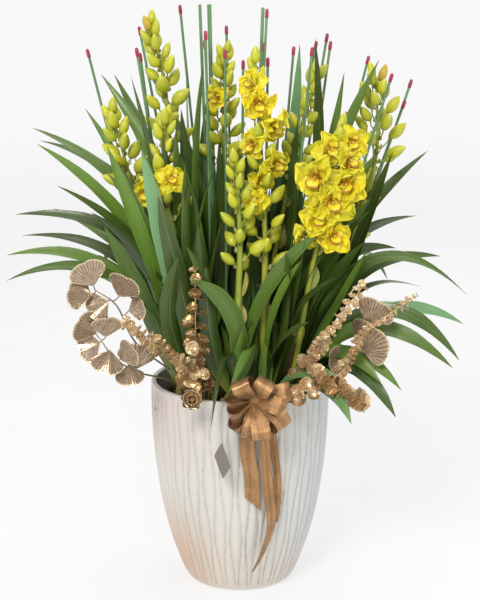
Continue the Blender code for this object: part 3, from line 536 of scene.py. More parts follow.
def carved_tree():
    """Cuts sinuous grooves into a turned wall, where its relief attribute lets them."""
    net, given, out = new_group("carved_grooves", "GeometryNodeTree", (
        ("Wall", GEOMETRY, None), ("Grooves", FLOAT, 40.0), ("Depth", FLOAT, 0.003), ("Wave", FLOAT, 0.185),
        ("Swing", FLOAT, 0.24), ("Seed", "NodeSocketInt", 7), FINISH), (("Geometry", GEOMETRY),))
    place = net.put("GeometryNodeInputPosition")[0]
    x, y, z = net.axes(place)
    turn = net.maths("DIVIDE", net.maths("ADD", net.maths("ARCTAN2", y, x), math.pi), 2 * math.pi)
    step = net.times(turn, given["Grooves"])
    middle = net.maths("ROUND", step)
    before, here, after = (groove_place(net, net.maths("ADD", middle, n), given, z) for n in (-1.0, 0.0, 1.0))
    past = net.maths("LESS_THAN", here, step)
    left = net.put("ShaderNodeMix", {0: past, 2: before, 3: here}, data_type="FLOAT")[0]
    right = net.put("ShaderNodeMix", {0: past, 2: here, 3: after}, data_type="FLOAT")[0]
    share = net.maths("DIVIDE", net.maths("SUBTRACT", step, left), net.maths("SUBTRACT", right, left))
    off = net.size_of(net.maths("MULTIPLY_ADD", share, 2.0, -1.0))
    groove = net.times(net.maths("POWER", off, 2.2), net.carried("relief"))
    depth = net.times(net.maths("MULTIPLY_ADD", net.clouds(place, 14.0), 0.9, 0.45), given["Depth"])
    depth = net.times(groove, depth)
    inward = net.put("ShaderNodeVectorMath", {0: net.point(x, y)}, operation="NORMALIZE")[0]
    wall = net.store(given["Wall"], "groove", groove)
    offset = net.scaled(inward, net.times(depth, -1.0))
    wall = net.put("GeometryNodeSetPosition", {"Geometry": wall, "Offset": offset})[0]
    net.end(wall, given, out)
    return net.tree


TREES = {"sweep_along_paths": sweep_tree, "repeat_on_points": scatter_tree, "carved_grooves": carved_tree}


# ---------------------------------------------------------------- mesh helpers
def link(obj):
    bpy.context.scene.collection.objects.link(obj)
    return obj


def plain_mesh(name, points, faces=(), edges=(), **values):
    """A mesh with point attributes; a value of three numbers a point makes a vector attribute."""
    mesh = bpy.data.meshes.new(name)
    mesh.from_pydata([tuple(p) for p in points], [tuple(e) for e in edges], [tuple(f) for f in faces])
    for key, numbers in values.items():
        flat = np.array([tuple(n) if hasattr(n, "__len__") else n for n in numbers], dtype=np.float32)
        vector = flat.ndim == 2
        made = mesh.attributes.new(key, "FLOAT_VECTOR" if vector else "FLOAT", "POINT")
        made.data.foreach_set("vector" if vector else "value", flat.ravel())
    return mesh


def mesh_from(made, name):
    mesh = bpy.data.meshes.new(name)
    made.to_mesh(mesh)
    made.free()
    return mesh


def outward(mesh):
    """Faces of a closed mesh turned outwards, once its doubles are merged."""
    made = bmesh.new()
    made.from_mesh(mesh)
    bmesh.ops.remove_doubles(made, verts=made.verts, dist=0.000002)
    bmesh.ops.recalc_face_normals(made, faces=made.faces)
    made.to_mesh(mesh)
    made.free()
    return mesh


def softened(mesh, degrees=42):
    mesh.shade_smooth()
    mesh.set_sharp_from_angle(angle=math.radians(degrees))


def evaluated(obj):
    """The plain mesh that an object's modifiers make."""
    graph = bpy.context.evaluated_depsgraph_get()
    return bpy.data.meshes.new_from_object(obj.evaluated_get(graph), preserve_all_data_layers=True, depsgraph=graph)


def settled(obj, slot, *nodes):
    """Every piece rides on the one body and stands for its CAD nodes; its slot is not used."""
    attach(obj, "root")
    if nodes:
        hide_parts(*nodes)
    return obj


def grown_by(name, tree_name, source, degrees, slot, *nodes, **inputs):
    """Runs a node tree once on a source mesh and keeps the plain mesh it makes as a new piece."""
    tree = bpy.data.node_groups.get(tree_name) or TREES[tree_name]()
    obj = link(bpy.data.objects.new(name, source))
    change = obj.modifiers.new("Make", "NODES")
    change.node_group = tree
    sockets = {item.name: item.identifier for item in tree.interface.items_tree
               if item.item_type == "SOCKET" and item.in_out == "INPUT"}
    for label, value in inputs.items():
        change[sockets[label]] = value
    mesh = evaluated(obj)
    obj.modifiers.clear()
    obj.data = mesh
    mesh.name = name
    bpy.data.meshes.remove(source)
    softened(outward(mesh), degrees)
    return settled(obj, slot, *nodes)


def piece_of(mesh, name, finish, degrees, slot, *nodes):
    """A ready mesh as a new piece in its finish."""
    softened(mesh, degrees)
    mesh.materials.append(finish)
    return settled(link(bpy.data.objects.new(name, mesh)), slot, *nodes)


def helper(name, mesh):
    """A source shape for a node tree, removed by clear_helpers."""
    obj = bpy.data.objects.new(name, mesh)
    obj["source_shape"] = True
    return obj


def clear_helpers():
    for obj in [o for o in bpy.data.objects if "source_shape" in o]:
        mesh = obj.data
        bpy.data.objects.remove(obj)
        bpy.data.meshes.remove(mesh)


def profile_of(name, points):
    """A closed outline of points as an edge mesh, for the sweep."""
    count = len(points)
    return helper(name, plain_mesh(name, points, across=[p[0] for p in points],
                                   edges=[(i, (i + 1) % count) for i in range(count)]))


def circle(sides):
    """Cosine and sine for each of the sides of a circle."""
    turns = [2 * math.pi * i / sides for i in range(sides)]
    return [(math.cos(t), math.sin(t)) for t in turns]


def round_profile(sides):
    return profile_of("round_profile", [(x, y, 0.0) for x, y in circle(sides)])


def spread(count):
    """Even places from -1 to 1."""
    return [-1.0 + 2.0 * i / (count - 1) for i in range(count)]


def channel_profile(columns, depth, thick):
    """A thin channelled section, one half width to each side, for leaves."""
    top, low = [], []
    for x in spread(columns):
        y = depth * (abs(x) ** 1.4) + 0.04 * math.cos(x * 9.0) * (1 - abs(x))
        body = thick * math.sqrt(max(0.0, 1.0 - x * x)) + 0.004
        top.append((x, y - body * 0.5, 0.0))
        low.append((x, y + body * 0.5, 0.0))
    return profile_of("channel_profile", top + low[::-1])


def ahead_at(points, i):
    """The direction of a path at its point i."""
    return points[min(i + 1, len(points) - 1)] - points[max(i - 1, 0)]


class Paths:
    """Collects paths for the sweep: points, half widths, a side direction and a tone each."""

    def __init__(self):
        self.points, self.edges, self.half, self.side, self.tone = [], [], [], [], []

    def add(self, points, halves, sides, tone):
        start = len(self.points)
        count = len(points)
        self.points += points
        self.edges += [(start + i, start + i + 1) for i in range(count - 1)]
        self.half += halves
        self.side += sides
        self.tone += [tone] * count

    def rod(self, points, halves, tone):
        """A round rod; halves is its radius at each point, or one radius for all."""
        if not hasattr(halves, "__len__"):
            halves = [halves] * len(points)
        across = Vector((0.31, 0.93, 0.12))
        self.add(points, halves, [ahead_at(points, i).cross(across).normalized() for i in range(len(points))], tone)

    def sweep(self, name, profile, finish, slot, *nodes):
        source = plain_mesh("paths", self.points, edges=self.edges, half=self.half, side=self.side, tone=self.tone)
        return grown_by(name, "sweep_along_paths", source, 60, slot, *nodes, Profile=profile, Finish=finish)


class Spots:
    """Collects places for the scatter: a point, its turn, its size and a tone each."""

    def __init__(self):
        self.points, self.turn, self.size, self.tone = [], [], [], []

    def add(self, point, way, side, size, tone):
        """The shape's +Z goes along way, and its +X as near to side as it can."""
        across = (side - way * side.dot(way)).normalized()
        frame_of = Matrix((across, way.cross(across), way)).transposed()
        self.points.append(point)
        self.turn.append(tuple(frame_of.to_euler()))
        self.size.append(size if hasattr(size, "__len__") else (size, size, size))
        self.tone.append(tone)

    def scatter(self, name, shape, finish, slot, *nodes, degrees=60):
        source = plain_mesh("spots", self.points, turn=self.turn, size=self.size, tone=self.tone)
        return grown_by(name, "repeat_on_points", source, degrees, slot, *nodes, Shape=shape, Finish=finish)


def quads(rows, columns, wrap=False, start=0):
    """Faces over a grid of points, closed round each row where it wraps."""
    corners = ((start + r * columns + c, start + r * columns + (c + 1) % columns)
               for r in range(rows - 1) for c in range(columns if wrap else columns - 1))
    return [(a, b, b + columns, a + columns) for a, b in corners]


def pole(top, ring, sides):
    """Faces that close a ring of points with one more point."""
    return [(top, ring + s, ring + (s + 1) % sides) for s in range(sides)]


def grid_sheet(name, rows, thick):
    """A closed thin plate over rows of points, with along and across attributes and a UV map."""
    rows = np.array([[tuple(p) for p in row] for row in rows], dtype=float)
    m, n = rows.shape[:2]
    normal = np.cross(np.gradient(rows, axis=0), np.gradient(rows, axis=1))
    normal = normal / np.maximum(np.linalg.norm(normal, axis=2, keepdims=True), 1e-12)
    points = np.concatenate([(rows + normal * thick * half).reshape(-1, 3) for half in (0.5, -0.5)])
    faces = quads(m, n)
    faces += [tuple(corner + m * n for corner in (a, d, c, b)) for a, b, c, d in faces]
    rim = [(0, j) for j in range(n)] + [(i, n - 1) for i in range(1, m)]
    rim += [(m - 1, j) for j in range(n - 2, -1, -1)] + [(i, 0) for i in range(m - 2, 0, -1)]
    rim = [i * n + j for i, j in rim]
    faces += [(here, here + m * n, after + m * n, after) for here, after in zip(rim, rim[1:] + rim[:1])]
    along = np.tile(np.repeat(np.linspace(0, 1, m), n), 2)
    across = np.tile(np.linspace(-1, 1, n), m * 2)
    mesh = plain_mesh(name, points, faces, along=along, across=across)
    uv = mesh.uv_layers.new(name="UVMap")
    corner = np.empty(len(mesh.loops), dtype=np.int32)
    mesh.loops.foreach_get("vertex_index", corner)
    flat = np.stack([across[corner] * 0.5 + 0.5, along[corner]], axis=1)
    uv.data.foreach_set("uv", flat.astype(np.float32).ravel())
    return outward(mesh)


def ring_shell(name, rows):
    """A closed lathe-like skin over rings of points, with pole points at both ends."""
    sides, last = len(rows[0]), len(rows) - 1
    points = [p for row in rows for p in row]
    faces = quads(len(rows), sides, wrap=True)
    along = [r / last for r in range(len(rows)) for _ in range(sides)]
    across = [y for _ in rows for _, y in circle(sides)]
    for ring in (0, last):
        points.append(sum((Vector(p) for p in rows[ring]), Vector()) / sides)
        along.append(ring / last)
        across.append(0.0)
        faces += pole(len(points) - 1, ring * sides, sides)
    return outward(plain_mesh(name, points, faces, along=along, across=across))


def along_path(path, t):
    """A point on the smooth curve through the points of the path, for t from 0 to 1."""
    last = len(path) - 1
    place = min(max(t, 0.0), 1.0) * last
    i = min(int(place), last - 1)
    f = place - i
    before = path[i - 1] if i > 0 else path[i] * 2 - path[i + 1]
    after = path[i + 2] if i + 2 <= last else path[i + 1] * 2 - path[i]
    a, b = path[i], path[i + 1]
    bend = (b - before) * 0.5 * f
    bend += (before * 2 - a * 5 + b * 4 - after) * 0.5 * f * f
    bend += (a * 3 - b * 3 + after - before) * 0.5 * f * f * f
    return a + bend


def along_all(path, count):
    """Even points on the smooth curve through the points of the path."""
    return [along_path(path, i / (count - 1)) for i in range(count)]


def arc_point(base, middle, tip, t):
    """A point on the even arc from base through middle to tip."""
    lower = (middle - base).length
    share = lower / (lower + (tip - middle).length)
    pull = middle - base * (1 - share) ** 2 - tip * share * share
    pull /= 2 * share * (1 - share)
    return base * (1 - t) ** 2 + pull * 2 * t * (1 - t) + tip * t * t


def millimetres(x, y, z):
    return Vector((x * MM, y * MM, z * MM))


def on_mix(spot, lift=0.0):
    """The place of a spot on top of the potting mix."""
    return Vector((spot[0] * MM, spot[1] * MM, MIX_TOP + lift))


def smooth_share(x):
    x = min(max(x, 0.0), 1.0)
    return x * x * (3 - 2 * x)


def direction(turn, rise=0.0):
    """A level direction at a turn, raised by rise."""
    return Vector((math.cos(turn) * math.cos(rise), math.sin(turn) * math.cos(rise), math.sin(rise)))


# ---------------------------------------------------------------- planter and potting mix
# The planter's outline: share of its height, share of its radius.
POT_LINE = ((0.0, 0.558), (0.004, 0.585), (0.018, 0.612), (0.065, 0.668), (0.12, 0.716), (0.19, 0.773), (0.26, 0.820),
            (0.33, 0.860), (0.42, 0.902), (0.52, 0.937), (0.61, 0.962), (0.70, 0.981), (0.80, 0.994), (0.90, 1.0),
            (0.97, 0.9995), (1.0, 0.998))
FLOOR_TOP = 0.020
MIX_LOW = 0.325


def pot_radius(share):
    """The planter's outside radius at a share of its height."""
    heights = [h for h, _ in POT_LINE]
    i = max(1, min(len(heights) - 1, int(np.searchsorted(heights, share))))
    (h0, r0), (h1, r1) = POT_LINE[i - 1], POT_LINE[i]
    before = POT_LINE[max(i - 2, 0)]
    after = POT_LINE[min(i + 1, len(heights) - 1)]
    slope0 = (r1 - before[1]) / max(h1 - before[0], 1e-6)
    slope1 = (after[1] - r0) / max(after[0] - h0, 1e-6)
    f = (share - h0) / (h1 - h0)
    span = h1 - h0
    value = (2 * f ** 3 - 3 * f * f + 1) * r0 + (f ** 3 - 2 * f * f + f) * span * slope0
    value += (3 * f * f - 2 * f ** 3) * r1 + (f ** 3 - f * f) * span * slope1
    return value * POT_RADIUS


def planter_wall():
    """Closed turned wall: down the outside, over the foot, and down the inside, in rings of radius, height, relief."""
    rings = []
    rows = 132
    lip = 0.0035
    for i in range(rows):
        share = (i / (rows - 1)) * (1.0 - lip / POT_HEIGHT)
        height = share * POT_HEIGHT
        relief = smooth_share((height - 0.003) / 0.014) * smooth_share((POT_HEIGHT - 0.004 - height) / 0.016)
        rings.append((pot_radius(share), height, relief))
    outer = pot_radius(1.0)
    wall = sizes().wall
    for i in range(1, 9):
        turn = math.pi * i / 9
        rings.append((outer - wall * 0.5 + wall * 0.5 * math.cos(turn), POT_HEIGHT - lip + lip * math.sin(turn), 0.0))
    for height in (0.404, 0.39, 0.37, 0.30, 0.22, 0.15, 0.09, 0.05, 0.022):
        rings.append((pot_radius(height / POT_HEIGHT) - wall, height, 0.0))
    return rings


class ORCHID_OT_planter(bpy.types.Operator):
    """Build the tall planter with its carved, wavy grooves"""
    bl_idname = "orchid.planter"
    bl_label = "Planter"

    def execute(self, context):
        rings = planter_wall()
        sides = sizes().groove_count * 8
        points = [(radius * x, radius * y, height) for radius, height, _ in rings for x, y in circle(sides)]
        relief = [cut for _, _, cut in rings for _ in range(sides)] + [0.0, 0.0]
        faces = quads(len(rings), sides, wrap=True)
        for ring, height in ((0, 0.0), (len(rings) - 1, FLOOR_TOP)):
            points.append((0.0, 0.0, height))
            faces += pole(len(points) - 1, ring * sides, sides)
        grown_by("planter_body", "carved_grooves", plain_mesh("planter_wall", points, faces, relief=relief), 50,
                 "planter_ceramic", "planter", Grooves=float(sizes().groove_count), Depth=sizes().groove_depth,
                 Wave=sizes().groove_wave, Finish=glazed_ceramic())
        return {"FINISHED"}


def chip_shape():
    """One bark chip: a lumpy block with its edges broken."""
    made = bmesh.new()
    bmesh.ops.create_cube(made, size=2.0)
    bmesh.ops.bevel(made, geom=made.edges[:], offset=0.42, segments=1, affect="EDGES", profile=0.5)
    rng = random.Random(3)
    for vert in made.verts:
        vert.co *= 0.86 + 0.28 * rng.random()
    return helper("chip", mesh_from(made, "chip"))


class ORCHID_OT_mix(bpy.types.Operator):
    """Fill the planter with potting mix and strew bark chips over it"""
    bl_idname = "orchid.mix"
    bl_label = "Potting Mix"

    def execute(self, context):
        reach = pot_radius(MIX_TOP / POT_HEIGHT) - sizes().wall - 0.0008
        rings, sides = 22, 72
        points = []
        for radius in [reach * r / rings for r in range(rings + 1)]:
            for x, y in circle(sides)[:sides if radius else 1]:
                place = Vector((radius * x, radius * y, 0.0))
                lift = 0.004 * noise.noise(place * 45.0) + 0.003 * noise.noise(place * 120.0)
                points.append(place + UP * (MIX_TOP - 0.005 + lift))
        faces = pole(0, 1, sides) + quads(rings, sides, wrap=True, start=1)
        edge = 1 + (rings - 1) * sides
        low = len(points)
        points += [Vector((p.x, p.y, MIX_LOW)) * Vector((0.97, 0.97, 1.0)) for p in points[edge:edge + sides]]
        faces += [(edge + s, low + s, low + (s + 1) % sides, edge + (s + 1) % sides) for s in range(sides)]
        faces.append(tuple(low + s for s in range(sides)))
        tone = [0.25 + 0.5 * noise.noise(p * 60.0) for p in points]
        bed = outward(plain_mesh("mix_bed", points, faces, tone=tone))
        piece_of(bed, "mix_bed", bark(), 42, "potting_mix", "potting_mix")
        rng = random.Random(11)
        spots = Spots()
        for _ in range(620):
            radius = (reach - 0.010) * math.sqrt(rng.random())
            turn = 2 * math.pi * rng.random()
            place = Vector((radius * math.cos(turn), radius * math.sin(turn), MIX_TOP - 0.002 + 0.006 * rng.random()))
            way = Vector((rng.gauss(0, 0.5), rng.gauss(0, 0.5), 1.0)).normalized()
            side = Vector((rng.gauss(0, 1), rng.gauss(0, 1), 0.1)).normalized()
            size = 0.0035 + 0.0050 * rng.random()
            spots.add(place, way, side, (size * 1.5, size, size * 0.5), rng.random())
        spots.scatter("bark_chips", chip_shape(), bark(), "potting_mix", degrees=30)
        return {"FINISHED"}


# ---------------------------------------------------------------- leaves and bulbs
# Each shoot: where its bulb stands, then its leaves by middle, tip, width and turn (mm, degrees).
SHOOTS = {
    "shoot_left_front": ((-112, -62), (
        ((-309, -120, 660), (-432, -160, 640), 25, -52),
        ((-288, -40, 657), (-446, -60, 667), 25, -52),
        ((-196, -118, 605), (-262, -150, 645), 25, -52),
    )),
    "shoot_left": ((-122, 18), (
        ((-275, 30, 665), (-432, 60, 685), 25, -52),
        ((-253, 0, 708), (-436, 10, 735), 25, -52),
        ((-247, 10, 755), (-388, 0, 874), 25, -52),
    )),
    "shoot_left_back": ((-98, 84), (
        ((-272, 110, 680), (-381, 170, 719), 25, -52),
        ((-257, 80, 800), (-416, 120, 890), 25, -52),
        ((-282, 140, 813), (-411, 200, 856), 25, -52),
        ((-240, 230, 650), (-300, 330, 560), 26, 10),
    )),
    "shoot_back_left": ((-48, 122), (
        ((-204, 150, 894), (-255, 200, 990), 29, -52),
        ((-107, 150, 908), (-108, 170, 1026), 27, 60),
        ((-110, 260, 720), (-140, 380, 640), 28, 0),
        ((-70, 250, 800), (-80, 350, 820), 26, 0),
    )),
    "shoot_centre_left": ((-62, 34), (
        ((-238, 69, 829), (-307, 112, 929), 25, -52),
        ((-214, 60, 923), (-270, 90, 999), 28, -52),
        ((-139, 60, 934), (-186, 80, 1017), 34, 60),
    )),
    "shoot_mid_left": ((-68, -38), (
        ((-232, -60, 725), (-342, -90, 808), 25, -52),
        ((-180, -34, 903), (-204, -44, 1006), 25, 50),
        ((-84, -42, 760), (-67, -50, 1035), 27, 60),
    )),
    "shoot_front_left": ((-62, -100), (
        ((-195, -146, 758), (-241, -165, 889), 36, -52),
        ((-150, -142, 750), (-180, -158, 882), 36, 70),
        ((-65, -150, 632), (-98, -190, 712), 24, 60),
        ((-75, -125, 740), (-29, -130, 892), 22, 60),
    )),
    "shoot_front": ((-6, -128), (
        ((-33, -170, 606), (-90, -205, 652), 34, 60),
        ((-22, -192, 505), (-54, -214, 372), 22, 30),
        ((18, -165, 512), (-20, -215, 440), 24, 30),
        ((81, -155, 668), (149, -195, 741), 30, 60),
    )),
    "shoot_front_right": ((52, -116), (
        ((77, -165, 616), (111, -185, 683), 30, 60),
        ((111, -160, 590), (176, -200, 655), 28, 50),
        ((84, -170, 534), (127, -195, 571), 28, 30),
        ((140, -172, 440), (202, -212, 388), 34, 0),
    )),
    "shoot_right_front": ((98, -78), (
        ((306, -80, 562), (416, -120, 478), 32, 52),
        ((235, -130, 545), (394, -190, 480), 32, 52),
        ((199, -125, 490), (300, -190, 440), 28, 52),
        ((305, -60, 667), (433, -90, 595), 25, 52),
    )),
    "shoot_right": ((134, 2), (
        ((292, 24, 643), (396, 50, 645), 25, 52),
        ((289, 8, 600), (358, 20, 588), 25, 20),
        ((340, 30, 547), (445, 40, 509), 25, 52),
        ((257, -20, 766), (290, -30, 862), 29, 52),
    )),
    "shoot_right_back": ((98, 76), (
        ((257, 140, 643), (322, 180, 635), 25, 52),
        ((273, 120, 692), (359, 150, 708), 25, 52),
        ((286, 90, 765), (374, 110, 846), 26, 52),
        ((250, 220, 620), (320, 310, 540), 26, 0),
    )),
    "shoot_centre_right": ((62, 6), (
        ((211, -10, 924), (261, -20, 1035), 31, 52),
        ((150, 2, 800), (141, -6, 1074), 31, 60),
        ((158, 36, 760), (201, 50, 1006), 22, 60),
    )),
    "shoot_back": ((37, 119), (
        ((92, 122, 740), (116, 130, 1054), 27, 60),
        ((72, 158, 690), (125, 190, 963), 27, 60),
        ((118, 246, 730), (175, 365, 690), 28, 0),
        ((16, 268, 690), (4, 388, 585), 28, 0),
    )),
}
# Height of the mix in millimetres.
MIX_LEVEL = 372
BULB_RADIUS = 0.017
BULB_HEIGHT = 0.060
LEAF_STATIONS = 26
FILL_LEAVES = 13
SHEATHS = 4


def leaf_width(t):
    """Share of a leaf's full width along it: narrow at the neck, even, then drawn to a point."""
    neck = 0.42 + 0.58 * smooth_share(t / 0.32)
    end = max(0.0, (t - 0.50) / 0.50)
    return max(neck * (1.0 - end ** 3.0), 0.02)


def strap_leaf(paths, base, middle, tip, width, turn, tone, rng):
    """A strap leaf on an even arc, which twists and sways a little."""
    run = tip - base
    flat = Vector((-run.y, run.x, 0.0))
    across = Matrix.Rotation(math.radians(turn), 3, run.normalized()) @ flat.normalized()
    twist = math.radians(rng.uniform(-26, 26))
    sway = rng.uniform(-0.006, 0.006)
    phase = rng.uniform(0, 6.28)
    points = []
    for i in range(LEAF_STATIONS):
        t = i / (LEAF_STATIONS - 1)
        wander = across * sway * math.sin(t * 5.0 + phase) * smooth_share(t * 3.0) * (1 - t * 0.6)
        points.append(arc_point(base, middle, tip, t) + wander)
    sides, halves = [], []
    for i in range(LEAF_STATIONS):
        t = i / (LEAF_STATIONS - 1)
        ahead = ahead_at(points, i).normalized()
        side = (across - ahead * across.dot(ahead)).normalized()
        sides.append(Matrix.Rotation(twist * t * t, 3, ahead) @ side)
        halves.append(width * MM * 0.5 * leaf_width(t) * (1 + 0.03 * math.sin(t * 31 + phase)))
    paths.add(points, halves, sides, tone)


def leaf_foot(spot, tip, rank):
    """Where a leaf leaves its bulb: on its own side of the neck, outer leaves lower."""
    foot = on_mix(spot)
    out = Vector((tip.x - foot.x, tip.y - foot.y, 0.0)).normalized()
    return foot + out * BULB_RADIUS * 0.42 + UP * (BULB_HEIGHT * (0.50 + 0.06 * (rank % 5)))


def leaf_tone(rng):
    """Mostly dark to middling green; a few get a painted pale mint sheen."""
    return rng.uniform(0.90, 1.0) if rng.random() < 0.10 else rng.uniform(0.12, 0.82) ** 1.15


def fill_leaf(paths, spot, rank, rng):
    """One of a shoot's steep inner leaves, which close the middle of the plant."""
    outward_turn = math.atan2(spot[1], spot[0]) + math.radians(rng.uniform(-95, 95))
    reach = rng.uniform(25, 150)
    height = rng.uniform(650, 960) - reach * 0.55 - (110 if spot[1] < -90 else 0)
    x, y = math.cos(outward_turn) * reach, math.sin(outward_turn) * reach
    tip = millimetres(spot[0] * 1.25 + x, spot[1] * 1.15 + y * 0.8, height)
    tip.y = max(tip.y, -0.205)
    lift = rng.uniform(0.52, 0.66)
    middle = millimetres(spot[0] * 1.08 + x * 0.30, spot[1] * 1.05 + y * 0.25,
                         MIX_LEVEL + (height - MIX_LEVEL) * lift)
    if -0.045 < middle.x < 0.080 and middle.y < -0.085:
        return
    strap_leaf(paths, leaf_foot(spot, tip, rank), middle, tip, rng.uniform(24, 34), rng.uniform(20, 80),
               leaf_tone(rng) * 0.8, rng)


def sheath_leaf(paths, spot, number, rng):
    """A short broad sheath that wraps the foot of the shoot."""
    turn = math.radians(360 / SHEATHS * number + rng.uniform(-25, 25))
    height = rng.uniform(450, 560)
    reach = rng.uniform(10, 34)
    tip = millimetres(spot[0] + math.cos(turn) * reach, spot[1] + math.sin(turn) * reach, height)
    middle = millimetres(spot[0] + math.cos(turn) * 15, spot[1] + math.sin(turn) * 15,
                         MIX_LEVEL + (height - MIX_LEVEL) * 0.5)
    base = on_mix(spot, 0.004) + direction(turn) * 0.012
    limit = POT_RADIUS - 0.020
    for point in (middle, tip):
        flat = math.hypot(point.x, point.y)
        if flat > limit and point.z < POT_HEIGHT + 0.02:
            point.x *= limit / flat
            point.y *= limit / flat
    tone = rng.uniform(0.0, 0.09) if rng.random() < 0.12 else rng.uniform(0.5, 0.85)
    strap_leaf(paths, base, middle, tip, rng.uniform(24, 32), 0, tone, rng)


# Broad leaves in the middle of the plant, by shoot: middle, tip, width, turn, tone.
FEATURE_LEAVES = {
    "shoot_front_left": (
        ((-128, -150, 560), (-112, -190, 690), 40, 70, 0.30), ((-96, -140, 560), (-150, -165, 800), 38, 80, 0.22)),
    "shoot_mid_left": (
        ((-92, -110, 640), (-100, -130, 860), 34, 75, 0.36), ((-52, -60, 600), (-44, -84, 800), 32, 75, 0.24),
        ((-40, -40, 580), (-16, -50, 780), 34, 85, 0.14)),
    "shoot_front": (
        ((-52, -150, 520), (-62, -176, 670), 38, 80, 0.20), ((22, -120, 480), (20, -132, 560), 30, 80, 0.16)),
    "shoot_front_right": (
        ((96, -150, 590), (120, -172, 760), 34, 60, 0.40), ((86, -150, 540), (84, -176, 700), 36, 75, 0.30),
        ((146, -190, 466), (206, -232, 388), 34, 40, 0.90)),
    "shoot_right_front": (
        ((170, -130, 560), (236, -160, 700), 30, 40, 0.55), ((205, -150, 470), (290, -205, 392), 30, 40, 0.30),
        ((180, -140, 500), (262, -205, 455), 28, 45, 0.62)),
    "shoot_left_front": (
        ((-170, -110, 560), (-250, -150, 740), 34, 50, 0.42), ((-150, -100, 620), (-205, -130, 820), 32, 60, 0.66)),
    "shoot_right": (
        ((170, -20, 640), (215, -30, 800), 30, 60, 0.50), ((150, 0, 620), (178, -10, 850), 32, 65, 0.34)),
    "shoot_centre_right": (
        ((92, -20, 700), (110, -30, 930), 32, 70, 0.35), ((30, 20, 640), (22, 20, 900), 34, 85, 0.25),
        ((60, 0, 620), (74, -20, 860), 34, 75, 0.48), ((40, -20, 600), (30, -40, 800), 34, 85, 0.20),
        ((96, 0, 640), (118, -30, 860), 34, 70, 0.55), ((10, 10, 520), (-2, -20, 680), 34, 80, 0.16)),
    "shoot_centre_left": (
        ((-90, 10, 700), (-112, 0, 940), 32, 70, 0.40), ((-36, 26, 640), (-40, 20, 880), 34, 80, 0.30),
        ((-20, 30, 600), (2, 30, 850), 34, 85, 0.18), ((2, 20, 540), (18, 0, 700), 36, 85, 0.30)),
    "shoot_back_left": (
        ((-44, 90, 660), (-22, 70, 930), 38, 80, 0.34), ((-26, 80, 620), (-8, 40, 850), 38, 85, 0.16),
        ((-70, 90, 660), (-64, 70, 960), 36, 75, 0.50), ((-6, 60, 560), (16, 44, 720), 38, 85, 0.22)),
    "shoot_back": (
        ((24, 90, 640), (14, 60, 900), 38, 85, 0.22), ((44, 90, 660), (40, 60, 940), 38, 80, 0.42),
        ((60, 90, 640), (78, 60, 920), 36, 75, 0.28), ((6, 60, 560), (-4, 40, 760), 38, 85, 0.18)),
}


class ORCHID_OT_leaves(bpy.types.Operator):
    """Build every shoot's strap leaves, its sheaths and its bulbs"""
    bl_idname = "orchid.leaves"
    bl_label = "Leaves"

    def execute(self, context):
        profile = channel_profile(7, 0.24, 0.055)
        for order, (name, (spot, leaves)) in enumerate(SHOOTS.items()):
            rng = random.Random(100 + order)
            paths = Paths()
            for rank, (middle, tip, width, turn) in enumerate(leaves):
                middle, tip = millimetres(*middle), millimetres(*tip)
                strap_leaf(paths, leaf_foot(spot, tip, rank), middle, tip, width * 1.05, turn, leaf_tone(rng), rng)
            for middle, tip, width, turn, tone in FEATURE_LEAVES.get(name, ()):
                middle, tip = millimetres(*middle), millimetres(*tip)
                strap_leaf(paths, leaf_foot(spot, tip, 2), middle, tip, width, turn, tone, rng)
            for rank in range(FILL_LEAVES):
                fill_leaf(paths, spot, rank, rng)
            for number in range(SHEATHS):
                sheath_leaf(paths, spot, number, rng)
            paths.sweep(name.replace("shoot", "leaves"), profile, leaf_skin(), "leaf", name)
        self.bulbs()
        return {"FINISHED"}

    def bulbs(self):
        rows = []
        for i in range(9):
            t = i / 8
            radius = math.sin(math.pi * (0.10 + 0.80 * t)) ** 0.8 * (1.0 - 0.30 * t)
            ribs = [radius * (0.95 if s % 2 else 1.05) for s in range(14)]
            rows.append([(rib * x, rib * y, t) for rib, (x, y) in zip(ribs, circle(14))])
        shape = helper("bulb_shape", ring_shell("bulb_shape", rows))
        rng = random.Random(5)
        spots = Spots()
        for spot, _ in SHOOTS.values():
            for number in range(3):
                turn = rng.uniform(0, 6.28)
                away = 0.0 if number == 0 else rng.uniform(0.020, 0.028)
                size = 1.0 if number == 0 else rng.uniform(0.6, 0.85)
                foot = on_mix(spot, -0.004) + direction(turn) * away
                if math.hypot(foot.x, foot.y) > POT_RADIUS - 0.034:
                    continue
                way = Vector((rng.gauss(0, 0.08), rng.gauss(0, 0.08), 1)).normalized()
                girth = BULB_RADIUS * size
                spots.add(foot, way, RIGHT, (girth, girth, BULB_HEIGHT * size), rng.random())
        spots.scatter("bulbs", shape, stem_skin("bulb"), "leaf")


